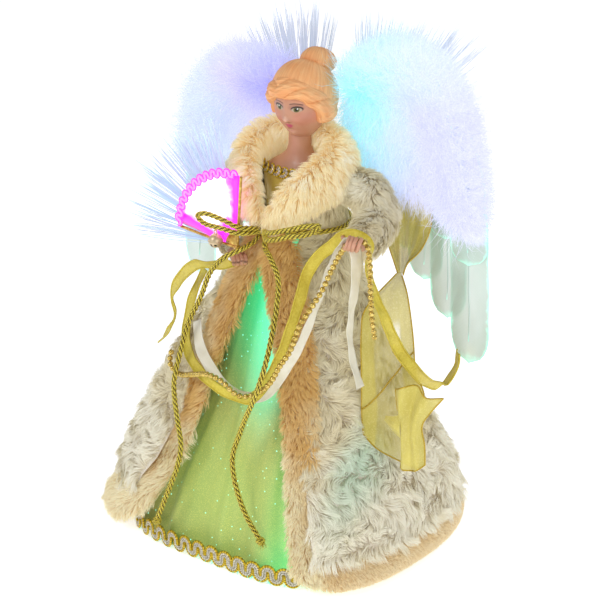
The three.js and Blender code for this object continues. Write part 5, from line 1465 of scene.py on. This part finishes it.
sticks_gold = Finish("fan_stick_gold", "gold_trim", Metallic=0.6, Roughness=0.35)
worn = sticks_gold.noise(2, 3)
sticks_gold.set(Base_Color=sticks_gold.ramp(worn, (0.3, srgb(176, 132, 44)), (0.7, srgb(240, 210, 120))))
made = empty_piece()
for k in range(FAN_PLEATS + 1):
    guard = k in (0, FAN_PLEATS)
    beyond = 2.6 if k == 0 else -2.6 if guard else 0.0
    degrees = FAN_TO + (FAN_FROM - FAN_TO) * k / FAN_PLEATS + beyond
    far = FAN_RADIUS if guard else FAN_INNER + 4
    deep = FAN_PIVOT[1] + (0.0 if guard else 0.4)
    line = Route(fan_point(degrees, np.linspace(0, far, 4), deep), facing_front)
    add_to(made, tube(line, 0.95 if guard else 0.5, 8, 3.0))
pin = Route(FAN_PIVOT + np.linspace(-2, 2, 3)[:, None] * [0, 1, 0], upward)
add_to(made, tube(pin, 2.0, 14, 0.8, ends=0.7))
finished(made, "fan_stick_set", sticks_gold, stands_for=["fan_sticks"])


def lit_thread(name, dark, pale, light):
    finish = thread_finish(name, dark, pale, 0.2)
    finish.set(Emission_Color=light, Emission_Strength=0.8)
    return finish


lit_silver = lit_thread("fan_gimp_silver", srgb(190, 120, 190), srgb(250, 225, 250), srgb(190, 40, 190))
lit_gold = lit_thread("fan_gimp_gold", srgb(170, 40, 150), srgb(240, 120, 220), srgb(220, 20, 200))
FAN_BRAID_RADIUS = 1.9
arc_radius = FAN_RADIUS + FAN_BRAID_RADIUS + GAP - 1.4
arc = Route(fan_point(np.linspace(FAN_FROM, FAN_TO, 13), arc_radius, FAN_PIVOT[1] - 2.0), facing_front)
gimp("fan_braid", "fan_braid", arc, serpentine(1.9, 6.0), 6.0, 0.48, lit_silver, lit_gold)

# %% Bell
BELL_AT = np.array([-24.0, -53.75, 211.5])
BELL_RADIUS = 4.6
bell_brass = Finish("bell_brass", "gold_trim", Metallic=0.5, Roughness=0.38)
bx, _, bz = bell_brass.split(bell_brass.moved(bell_brass.place(), at=tuple(BELL_AT)))
# The slot and its round ends are painted dark: the shade inside the bell's openings.
slit_shade = bell_brass.ease(bell_brass.maths("ABSOLUTE", bx), 0.6, 0.4) * bell_brass.ease(bz, -1.6, -2.2)
hole_far = ((bell_brass.maths("ABSOLUTE", bx - 1.4) - 1.3) ** 2.0 + (bz + 1.9) ** 2.0) ** 0.5
slot_end_shade = bell_brass.ease(hole_far, 0.8, 0.55)
dark = bell_brass.maths("MAXIMUM", slit_shade, slot_end_shade)
brass = bell_brass.mix(bell_brass.noise(2.5, 3), srgb(188, 160, 122), srgb(236, 218, 184))
bell_brass.set(Base_Color=bell_brass.mix(dark, brass, srgb(40, 28, 18)))
bell_brass.bump(1 - dark, 0.5, 0.8)
made = empty_piece()
add_ball(made, BELL_AT, BELL_RADIUS, 32, 24)
ring_turn = np.linspace(0, 2 * math.pi, 13)[:-1]
eye = np.stack([np.cos(ring_turn) * 1.3, np.sin(ring_turn) * 0, np.sin(ring_turn) * 1.3], -1)
add_to(made, tube(Route(BELL_AT + [0, 0, BELL_RADIUS + 1] + eye, facing_front, closed=True), 0.45, 8, 0.6))
seam = np.stack([np.cos(ring_turn), np.sin(ring_turn), ring_turn * 0], -1) * (BELL_RADIUS + 0.05)
add_to(made, tube(Route(BELL_AT + seam, upward, closed=True), 0.3, 6, 0.8))
finished(made, "hand_bell", bell_brass, body="bell", stands_for=["bell"])

# %% [markdown]
# ## Light fibres
# The fan and both wings carry sprays of clear fibre. Each strand is two crossed strips that bend a
# little; it is glassy along its length and lit at its cut end.

# %% Fibre sprays
def fibre_finish(name, low, high, tip):
    finish = Finish(name, "fibre", Roughness=0.25, Coat_Weight=0.4)
    shade, far = finish.along_piece()
    body = finish.mix(shade, low, high)
    finish.set(Base_Color=finish.mix(0.4, body, srgb(216, 222, 232)))
    ends = finish.ease(far, 0.84, 0.96)
    finish.set(Emission_Color=finish.mix(ends, finish.mix(0.5, body, srgb(0, 0, 0)), tip))
    finish.set(Emission_Strength=0.42, Alpha=0.75 + ends * 0.25)
    return finish


FIBRE_SAG, FIBRE_RADIUS = 0.9, 0.42


def fibre_spray(name, feet, tips, finish, body, node, rng):
    """Crossed strips along each strand, so that it shows from every side."""
    count, steps = len(feet), 6
    s = np.linspace(0, 1, steps + 1)[None, :, None]
    bend = rng.normal(0, FIBRE_SAG, (count, 1, 3)) * np.sin(math.pi * s)
    bend = bend + rng.normal(0, 2 * FIBRE_SAG, (count, 1, 3)) * s**2
    lines = feet[:, None] + (tips - feet)[:, None] * s + bend
    heading = unit(np.gradient(lines, axis=1))
    first = unit(np.cross(heading, [0.3, 0.8, 0.5]))
    sides = np.concatenate([first, np.cross(heading, first)])
    widths = np.full((2 * count, steps + 1), 2 * FIBRE_RADIUS) * (1 - 0.3 * s[..., 0])
    grown = (np.concatenate([lines, lines]), sides, widths)
    return hair_piece(name, grown, np.tile(rng.random(count), 2), finish, body, [node])


fan_fibre = fibre_finish("fan_fibre_light", srgb(186, 224, 242), srgb(212, 208, 246), srgb(216, 250, 255))
rng = np.random.default_rng(31)
FAN_FIBRES = 150
share, lean = rng.random((2, FAN_FIBRES))
behind = FAN_PIVOT[1] + FAN_PLEAT_DEPTH + 2.4
feet = fan_point(110 + 66 * share, 5.5, behind + lean)
reach = 76 + 26 * share + rng.normal(0, 5, FAN_FIBRES)
tips = fan_point(106 + 82 * share + rng.normal(0, 2, FAN_FIBRES), reach, behind + 3 * lean)
fibre_spray("fan_fibre_spray", feet, tips, fan_fibre, "figure", "fan_fibres", rng)

# %% [markdown]
# ## Wings
# A wing has long film feathers, thin and iridescent, with lit edges, and a wide band of marabou down over
# them. Each feather is a cambered grid with a quill down its middle. The marabou is fine hair again,
# longer and looser, and it glows with the light of the fibres inside: cyan or violet near the body, paler
# lavender further out.

# %% Film feathers
film = Finish("wing_film_sheet", "wing_film", Roughness=0.25, Metallic=0.1, Coat_Weight=0.4)
u, v = film.along_piece()
from_quill = film.maths("ABSOLUTE", u - 0.5) * 2.0
barbs = film.maths("SINE", v * 420.0 - from_quill * 30.0)
tone = film.mix(film.noise(14, 3, (1, 1, 2)), srgb(190, 214, 202), srgb(216, 229, 224))
tone = film.mix(barbs * 0.03 + 0.06, tone, srgb(230, 240, 240))
film.set(Base_Color=tone)
edge_noise = (film.noise(5, 3) - 0.5) * 0.3
lit_side, lit_tip = film.ease(from_quill + edge_noise, 0.84, 1.0), film.ease(v + edge_noise * 0.2, 0.95, 1.0)
lit_edge = film.maths("MAXIMUM", lit_side, lit_tip)
film_cell, (_, film_shade, _) = film.cells(0.3)
film_glint = film.ease(film_cell, 0.26, 0.12) * film.ease(film_shade, 0.9, 0.93)
film_lit = film.mix(lit_edge, srgb(52, 74, 64), srgb(84, 236, 206))
film.set(Emission_Color=film.mix(film_glint, film_lit, srgb(190, 215, 255)))
film.set(Emission_Strength=0.6, Alpha=0.74 + from_quill * 0.2)
film.bump(barbs, 0.03, 0.3)

WING_FRONT_Y = 28.0
HINGE_X, HINGE_Y, HUB_Z = 14.0, 32.0, 237.5
# Each feather is its root, its tip and its half width, seen from the front.
FEATHERS = [
    ((40, 274), (46, 221), 12.0), ((58, 284), (62, 203), 13.0), ((74, 290), (78, 186), 13.5),
    ((90, 292), (97, 165), 14.0), ((105, 290), (115, 139), 14.5),
]
COVERTS = [
    ((34, 292), (42, 248), 12.0), ((50, 298), (57, 240), 13.0), ((68, 302), (74, 230), 13.5),
    ((86, 300), (95, 218), 14.0), ((103, 292), (113, 205), 14.0),
]


def feather(root, tip, half, y, hand_sign):
    """A cambered film feather with a round tip, and a quill down its middle."""
    root, tip = np.array(root, float), np.array(tip, float)
    ahead = unit(tip - root)
    side = np.array([-ahead[1], ahead[0]])

    def place(u, v):
        s = 2 * u - 1
        round_tip = np.sqrt(np.clip(1 - np.clip((v - 0.86) / 0.14, 0, 1) ** 2, 0, 1))
        blade = np.minimum(1, 0.45 + 1.6 * v) * round_tip
        bow = 1.6 * np.sin(math.pi * v)
        flat = root + (tip - root) * v[:, None] + side * (s * half * blade + bow)[:, None]
        depth = y + 0.9 * s**2 - 0.5 + 0.25 * np.sin(26 * v + 3 * s)
        return np.stack([hand_sign * flat[:, 0], depth, flat[:, 1]], -1)

    whole = bent_grid(12, 40, place, join=0.001)
    quill = Route(place(np.full(12, 0.5), np.linspace(0.02, 0.9, 12)) - [0, 0.2, 0], facing_front)
    add_to(whole, tube(quill, lambda t: 0.6 - 0.35 * t, 6, 5.0))
    return whole


BARREL_RADIUS, PIN_RADIUS = 3.4, 1.5
HUB_HALF_HEIGHT, LUG_HEIGHT = 14.5, 6.0


def hinge_barrel(hand_sign):
    """The knuckle on the hinge pin, and the web that carries the film."""
    low, high = HUB_Z - HUB_HALF_HEIGHT + LUG_HEIGHT + GAP, HUB_Z + HUB_HALF_HEIGHT - LUG_HEIGHT - GAP
    whole = empty_piece()
    bore, wall = PIN_RADIUS + GAP, BARREL_RADIUS
    outline = [(bore, low), (wall, low), (wall, high), (bore, high)]
    rim = [whole.verts.new(Vector((r, 0, z)) * MM) for r, z in outline]
    edges = [whole.edges.new((a, b)) for a, b in zip(rim, rim[1:] + rim[:1])]
    bmesh.ops.spin(
        whole, geom=rim + edges, cent=(0, 0, 0), axis=(0, 0, 1), dvec=(0, 0, 0), angle=2 * math.pi, steps=28,
        use_merge=True,
    )
    bmesh.ops.translate(whole, verts=whole.verts, vec=Vector((hand_sign * HINGE_X, HINGE_Y, 0)) * MM)
    add_box(whole, (9.0, 2.6, high - low), (hand_sign * (HINGE_X + 7.2), HINGE_Y - 2.0, HUB_Z))
    return facing_out(whole)


wing_plastic = Finish("wing_clear_plastic", "clear_plastic", Roughness=0.25, Coat_Weight=0.3)
wing_plastic.mottle(wing_plastic.noise(6), srgb(222, 232, 230), srgb(244, 250, 248))
for side, hand_sign in SIDES:
    made = empty_piece()
    for row, feathers in enumerate((FEATHERS, COVERTS)):
        for k, (root, tip, half) in enumerate(feathers):
            add_to(made, feather(root, tip, half, WING_FRONT_Y + 1.6 - 1.6 * row - 0.28 * k, hand_sign))
    finished(made, f"wing_film_{side}", film, body=f"{side}_wing", stands_for=[f"wing_{side}"])
    finished(hinge_barrel(hand_sign), f"wing_barrel_{side}", wing_plastic, body=f"{side}_wing", smooth=False)

# %% Marabou
MARABOU_Y, MARABOU_HALF_DEPTH = 19.0, 15.0
# Stops of the down along each wing: how far out, how high, and how full.
MARABOU = {
    "left": [
        ((26, 302), 12), ((46, 320), 20), ((74, 322), 29),
        ((98, 296), 27), ((110, 258), 21), ((116, 234), 12),
    ],
    "right": [
        ((26, 294), 11), ((46, 299), 17), ((72, 294), 22),
        ((90, 274), 21), ((99, 250), 17), ((103, 230), 11),
    ],
}


def down_finish(name, side, near, middle, far):
    """White down lit from inside: one colour near the body, others further out, and a few painted glints."""
    finish = Finish(name, "down", Roughness=0.9)
    shade, along = finish.along_piece()
    x, _, z = finish.split(finish.place())
    out = finish.ease(x * side + (300 - z) * 0.25, 22.0, 112.0)
    glow = finish.ramp(out + (finish.noise(26, 2) - 0.5) * 0.5, (0.1, near), (0.45, middle), (0.85, far))
    glow = finish.mix(finish.ease(z, 296.0, 336.0) * 0.7, glow, srgb(226, 233, 240))
    glow = finish.mix(finish.ease(along, 0.3, 1.0) * 0.4 + shade * 0.2, glow, srgb(234, 238, 246))
    # A few cells get painted glints of white light.
    cell, (cell_shade, _, _) = finish.cells(0.22)
    glint_speck = finish.ease(cell, 0.3, 0.12) * finish.ease(cell_shade, 0.84, 0.88)
    finish.set(Base_Color=glow, Emission_Color=finish.mix(glint_speck, glow, srgb(255, 255, 255)))
    finish.set(Emission_Strength=0.29, Alpha=1 - finish.ease(along, 0.5, 1.0) * 0.45)
    return finish


DOWN_GLOW = {
    "left": down_finish(
        "marabou_glow_left", 1, srgb(170, 234, 246), srgb(206, 226, 246), srgb(218, 219, 241),
    ),
    "right": down_finish(
        "marabou_glow_right", -1, srgb(194, 194, 242), srgb(216, 212, 242), srgb(214, 223, 241),
    ),
}
ROLL_WISPS, FILL_WISPS, LONG_WISPS = 15600, 9800, 2600
ROLL_LENGTH, FILL_LENGTH, LONG_LENGTH, WISP_WIDTH = 19.0, 20.0, 29.0, 0.32
FILL_LOWEST, FILL_HIGHEST = 236, 308
for side, hand_sign in SIDES:
    rng = np.random.default_rng(41 if hand_sign > 0 else 42)
    spine = Route([(hand_sign * x, MARABOU_Y, z) for (x, z), _ in MARABOU[side]], facing_front)
    fullness = [radius for _, radius in MARABOU[side]]

    def marabou_half(t):
        radius = spaced(t, fullness) * rounded_ends(t, 0.06)
        return radius, np.minimum(radius, MARABOU_HALF_DEPTH)

    shell = roll(spine, marabou_half)

    def core(u, v):
        return spine.at(v) + (shell(u, v) - spine.at(v)) * 0.45

    spots, out, _, _ = scatter(core, lambda at, v: at - spine.at(v), ROLL_WISPS, rng)
    outward = unit(spots - [hand_sign * 30, 22, 262]) * 0.8 + rng.normal(0, 0.5, spots.shape)
    short = grow(
        spots, out, outward, ROLL_LENGTH, WISP_WIDTH, rng, rise=0.62, reach=0.62, wave=0.3,
        tufts=ROLL_WISPS // 14, tuft=0.2, steps=4,
    )
    few = rng.choice(ROLL_WISPS, LONG_WISPS, replace=False)
    long = grow(
        spots[few], out[few], outward[few], LONG_LENGTH, 0.26, rng, rise=0.7, reach=0.6, wave=0.35, steps=4,
    )
    reach = fullness[-3] * 0.2 + max(x for (x, _), _ in MARABOU[side])
    x = rng.uniform(20, reach, FILL_WISPS)
    low = FILL_LOWEST + 14 * (1 - x / reach)
    stops_x, stops_z = np.array([stop for stop, _ in MARABOU[side]]).T
    high = np.maximum(np.minimum(np.interp(x, stops_x, stops_z) - 2, FILL_HIGHEST), low)
    z = low + (high - low) * rng.random(FILL_WISPS)
    roots = np.stack([hand_sign * x, np.full(FILL_WISPS, WING_FRONT_Y - 3.5), z], -1)
    fall = np.stack([hand_sign * (x - 40) / 90, np.zeros(FILL_WISPS), np.full(FILL_WISPS, -0.8)], -1)
    fall = fall + rng.normal(0, 0.45, roots.shape)
    more = grow(
        roots, facing_front(roots), fall, FILL_LENGTH, WISP_WIDTH, rng, rise=0.45, reach=0.8, wave=0.3,
        tufts=FILL_WISPS // 14, tuft=0.2, steps=4,
    )
    grown = [np.concatenate(parts) for parts in zip(short, long, more)]
    shades = rng.random(len(grown[0]))
    hair_piece(f"marabou_down_{side}", grown, shades, DOWN_GLOW[side], f"{side}_wing", [f"marabou_{side}"])

# %% Wing fibres
WING_ROOT_X = HINGE_X + BARREL_RADIUS + 2.2
WING_BACK = WING_FRONT_Y + 2.3
WING_FIBRES = 150
wing_fibre = fibre_finish("wing_fibre_light", srgb(198, 208, 220), srgb(230, 232, 244), srgb(250, 253, 255))
for side, hand_sign in SIDES:
    rng = np.random.default_rng(51 if hand_sign > 0 else 52)
    share, lean = rng.random((2, WING_FIBRES))
    foot_x, foot_y = WING_ROOT_X + 1.6 + 9.8 * share, WING_BACK + 5 + 1.2 * lean
    feet = np.stack([foot_x, foot_y, np.full(WING_FIBRES, HUB_Z + 25)], -1)
    turn = np.radians(-9 + 54 * share + rng.normal(0, 2, WING_FIBRES))
    reach = 80 + 30 * np.clip((share - 0.4) / 0.4, 0, 1) * (side == "left") + rng.normal(0, 5.5, WING_FIBRES)
    reach = np.minimum(reach, 92 / np.cos(turn))
    tips = feet + np.stack([reach * np.sin(turn), 9 + 6 * lean, reach * np.cos(turn)], -1)
    feet[:, 0] *= hand_sign
    tips[:, 0] *= hand_sign
    fibre_spray(
        f"wing_fibre_spray_{side}", feet, tips, wing_fibre, f"{side}_wing", f"wing_fibres_{side}", rng,
    )
    made = empty_piece()
    add_box(made, (11, 8, 8), (hand_sign * (WING_ROOT_X + 6.5), WING_BACK + 4, HUB_Z + 22))
    bmesh.ops.bevel(
        made, geom=made.edges[:], offset=0.8 * MM, affect="EDGES", segments=3, profile=0.5, material=-1,
    )
    finished(made, f"wing_fibre_block_{side}", wing_plastic, body=f"{side}_wing", smooth=False)

# %% [markdown]
# ## Waist cord and bow
# The same twisted cord goes round the waist under the collar and is tied in a bow with two long loops.

# %% Waist cord and bow
CORD_STAND = COAT_DEPTH_TOP + 5 * GAP + CORD_RADIUS
waist_line = on_figure(np.linspace(0, 360, 41)[:-1], CORD_Z, CORD_STAND)
finished(twisted(Route(waist_line, closed=True)), "waist_cord_twist", gold_cord, stands_for=["waist_cord"])
RIGHT_LOOP = [
    (0, KNOT_Y, 220), (-7, -52, 224), (-14, -55, 227), (-30, -57, 229), (-36, -57, 226),
    (-31, -57, 222.5), (-16, -55, 221.5), (-7, -52, 220), (0, KNOT_Y, 218.5),
]
LEFT_LOOP = [
    (0, KNOT_Y, 220), (14, -48, 224), (30, -49, 230), (46, -47, 236), (53, -45, 237),
    (48, -47, 232), (31, -50, 226), (15, -49, 220), (0, KNOT_Y, 218.5),
]
made = empty_piece()
for stops in (RIGHT_LOOP, LEFT_LOOP):
    add_to(made, twisted(Route(stops)))
knot(made, KNOT_CENTRE, KNOT_RADIUS + 0.6, 4)
finished(made, "bow_twist", gold_cord, stands_for=["bow"])

# %% [markdown]
# ## Scarf
# A sheer organza scarf hangs from the back of the left sleeve: full at the top, pinched under the elbow,
# then a long panel, and at its end a knotted fold that opens like a star. Wire in its hems keeps the
# shape. Each stretch is a smooth sheet through a few rows of points, with wire along its edges.

# %% Scarf
def scarf_finish(name, clear, dense):
    """Gold organza. It lets light through where it lies single, and is dense where it is folded double."""
    finish = Finish(name, "gold_satin", Roughness=0.4, Metallic=0.08, Sheen_Weight=0.2)
    weave = woven(finish, (90, 160))
    tone = finish.mix(finish.noise(9, 3, (1, 1, 2)), srgb(190, 174, 56), srgb(236, 222, 116))
    # Pale flecks are painted highlights on the metallic weave.
    glitter_highlight = finish.ease(finish.noise(1.0, 3), 0.5, 0.65) * 0.4
    finish.set(Base_Color=finish.mix(glitter_highlight, tone, srgb(240, 228, 146)))
    u, v = finish.along_piece()
    double = finish.maths("MAXIMUM", finish.ease(u, 0.3, 0.22), finish.ease(u, 0.72, 0.8))
    double = finish.maths("MAXIMUM", double, finish.ease(v, 0.4, 0.3))
    finish.set(Alpha=finish.ease(double + (finish.noise(14, 2) - 0.5) * 0.5, 0.0, 1.0, clear, dense))
    finish.bump(weave, 0.08, 0.4)
    return finish


sheer = scarf_finish("scarf_sheer_organza", 0.46, 0.86)
gathered = scarf_finish("scarf_gathered_organza", 0.84, 0.95)


def sheet_through(rows):
    """A smooth sheet that passes through rows of points, from the first row to the last."""
    lines = [Route(row) for row in rows]

    def place(u, v):
        whole = np.stack([line.at(u) for line in lines])
        far = np.clip(v, 0, 1 - 1e-9) * (len(rows) - 1)
        k, n = far.astype(int), np.arange(len(u))
        f = (far - k)[:, None]
        p0, p1 = whole[np.maximum(k - 1, 0), n], whole[k, n]
        p2, p3 = whole[k + 1, n], whole[np.minimum(k + 2, len(rows) - 1), n]
        pull1, pull2 = (p2 - p0) / 2, (p3 - p1) / 2
        return (
            p1 * (2 * f**3 - 3 * f**2 + 1) + p2 * (3 * f**2 - 2 * f**3)
            + pull1 * (f**3 - 2 * f**2 + f) + pull2 * (f**3 - f**2)
        )

    return place


def pleated(place, count, depth, outward):
    """The same sheet with soft pleats along it."""
    ahead = unit(np.array(outward, float))

    def bent(u, v):
        wave = np.sin(2 * math.pi * count * u + 1.5 * np.sin(4 * v))
        fold = depth * wave * np.sin(math.pi * np.clip(v, 0.05, 1))
        return place(u, v) + ahead * fold[:, None]

    return bent


VIEW_OUT = (0.6, -0.75, 0.2)
PUFF = pleated(sheet_through([
    [(46, 21, 232), (58, 26, 241), (73, 25, 244), (87, 23, 237)],
    [(52, 18, 222), (63, 24, 228), (76, 23, 230), (89, 19, 226)],
    [(59, 15, 211), (67, 20, 214), (77, 18, 215), (86, 14, 213)],
    [(66, 12, 202), (70, 14, 203), (74, 14, 203), (79, 10, 203)],
    [(72, 9, 195), (73, 10, 195), (75, 10, 195), (77, 8, 195)],
]), 4, 1.6, VIEW_OUT)
PANEL = pleated(sheet_through([
    [(72, 8, 195), (73, 9, 195.5), (75, 9, 195.5), (77, 7, 195)],
    [(66.8, -16, 178), (72, -8, 183), (79, -3, 185), (86, 1, 186)],
    [(64.8, -18, 160), (73, -14, 161), (83, -8, 162), (93, -2, 162.5)],
    [(68, -21, 131), (78, -18, 134), (89, -12, 137), (99, -6, 140)],
    [(70, -23, 110), (82, -21, 112), (96, -16, 118), (109, -10, 125)],
    [(73, -25, 96), (83, -24, 89), (95, -21.5, 85), (109, -16, 80)],
]), 3, 0.9, VIEW_OUT)
STAR = [
    [(100, -28, 137), (108, -34, 142), (117, -29, 145), (126, -33, 141), (134, -25, 140)],
    [(103, -30, 127), (108, -35, 128), (114, -30, 131), (120, -33, 128), (125, -27, 127)],
    [(106, -30, 116), (109, -34, 116), (113, -31, 117), (117, -32, 116), (120, -27, 117)],
    [(106, -29, 103), (109, -33, 102), (113, -30, 102), (118, -31, 102), (121, -25, 104)],
    [(105, -27, 89), (109, -32, 86), (113, -28, 85), (118, -29, 87), (121, -24, 90)],
]
STAR_ARM = [
    [(108, -33, 124), (109, -35, 116), (108, -33, 108)],
    [(102, -33, 121), (103, -36, 116), (102, -33, 111)],
    [(95, -31, 118.5), (95.5, -33, 116), (96, -31, 114)],
]
star = sheet_through(STAR)
panel = finished(bent_grid(44, 70, PANEL), "scarf_panel", sheer, stands_for=["scarf"])
made = empty_piece()
for place, across, along in ((PUFF, 40, 30), (star, 40, 40), (sheet_through(STAR_ARM), 16, 12)):
    add_to(made, bent_grid(across, along, place))
folds = finished(made, "scarf_folds", gathered)

scarf_wire = Finish("scarf_wire_edge", "gold_trim", Metallic=0.5, Roughness=0.4)
scarf_wire.mottle(scarf_wire.noise(1.2, 2), srgb(150, 116, 16), srgb(228, 198, 70))
made = empty_piece()
WIRE_RADIUS, WIRE_STOPS = 0.5, 40
run = np.linspace(0, 1, WIRE_STOPS)
start, end = np.zeros(WIRE_STOPS), np.ones(WIRE_STOPS)
wires = [place(edge, run) for place in (PUFF, PANEL, star) for edge in (start, end)]
wires += [PUFF(run, start), PANEL(run, end), star(run, start), star(run, end)]
wires.append(PANEL(run, 0.78 - 0.3 * run) + unit(np.array(VIEW_OUT)) * 0.6)
for stops in wires:
    add_to(made, tube(Route(stops), WIRE_RADIUS, 5, 2.0))
finished(made, "scarf_wire_edges", scarf_wire)

# %% [markdown]
# ## Hard pieces
# The cone, tube, battery box and lamp are real CAD shapes and stay. They show only from below, and get
# the finish of moulded plastic, turned metal or printed sleeve.

# %% Plastic, metal and inner parts
def dress(finish, *names):
    for name in names:
        nodes[name].material_slots[0].material = finish.material


def moulded(name, slot, dark, pale, rough):
    finish = Finish(name, slot, Roughness=rough)
    finish.mottle(finish.noise(30, 3), dark, pale)
    finish.set(Roughness=finish.ease(finish.noise(3, 3), 0.2, 0.8, rough - 0.06, rough + 0.08))
    finish.bump(finish.noise(0.6, 2), 0.06, 0.4)
    return finish


def turned_metal(name, slot, dark, pale, rough):
    finish = Finish(name, slot, Metallic=1.0, Roughness=rough)
    lines = finish.noise(1.0, 3, (8, 8, 0.4))
    finish.mottle(lines, dark, pale)
    finish.bump(lines, 0.05, 0.5)
    return finish


white_mould = moulded("white_moulding", "white_plastic", srgb(222, 219, 210), srgb(242, 240, 234), 0.48)
black_mould = moulded("black_moulding", "black_plastic", srgb(30, 30, 32), srgb(52, 52, 55), 0.5)
steel = turned_metal("plain_steel", "steel", srgb(150, 152, 156), srgb(206, 208, 211), 0.3)
aluminium = turned_metal("turned_aluminium", "aluminium", srgb(168, 170, 173), srgb(218, 220, 222), 0.34)
board = moulded("board_mask", "board", srgb(24, 74, 34), srgb(44, 104, 52), 0.4)
clear = moulded("clear_moulding", "clear_plastic", srgb(214, 232, 230), srgb(240, 250, 248), 0.16)
dress(white_mould, "support_cone", "shelf", "tree_tube", "switch_knob", "lamp_frame", "torso", "wing_hub")
dress(black_mould, "battery_box", "battery_cover", "fibre_bundle", "lamp_lead")
dress(steel, "gear_motor", "wheel_shaft", "hinge_pin_left", "hinge_pin_right")
dress(aluminium, "heat_sink", "fibre_ferrule")
dress(board, "lamp_board")
dress(clear, "lamp_lens")

cell_sleeve = Finish("cell_sleeve", "cell_skin", Roughness=0.3, Metallic=0.4)
_, _, cell_z = cell_sleeve.split(cell_sleeve.place())
band = cell_sleeve.ease(cell_z, 96.0, 96.6)
cap = cell_sleeve.ease(cell_z, 106.6, 107.2)
sleeve = cell_sleeve.mix(band, srgb(52, 58, 66), srgb(170, 138, 70))
cell_sleeve.set(Base_Color=cell_sleeve.mix(cap, sleeve, srgb(205, 206, 208)))
dress(cell_sleeve, "battery_cell_1", "battery_cell_2", "battery_cell_3")

wheel_tint = Finish("wheel_tint", "wheel_film", Roughness=0.15)
wheel_x, wheel_y, _ = wheel_tint.split(wheel_tint.moved(wheel_tint.place(), at=(0, 9, 141)))
sector = wheel_tint.maths("ARCTAN2", wheel_y, wheel_x) / (2 * math.pi) + 0.5
CYAN, PINK, GREEN, VIOLET = srgb(90, 220, 240), srgb(240, 110, 220), srgb(110, 230, 140), srgb(120, 130, 245)
wheel_tint.set(Base_Color=wheel_tint.ramp(sector, (0.0, CYAN), (0.25, PINK), (0.5, GREEN), (0.75, VIOLET)))
dress(wheel_tint, "colour_wheel")
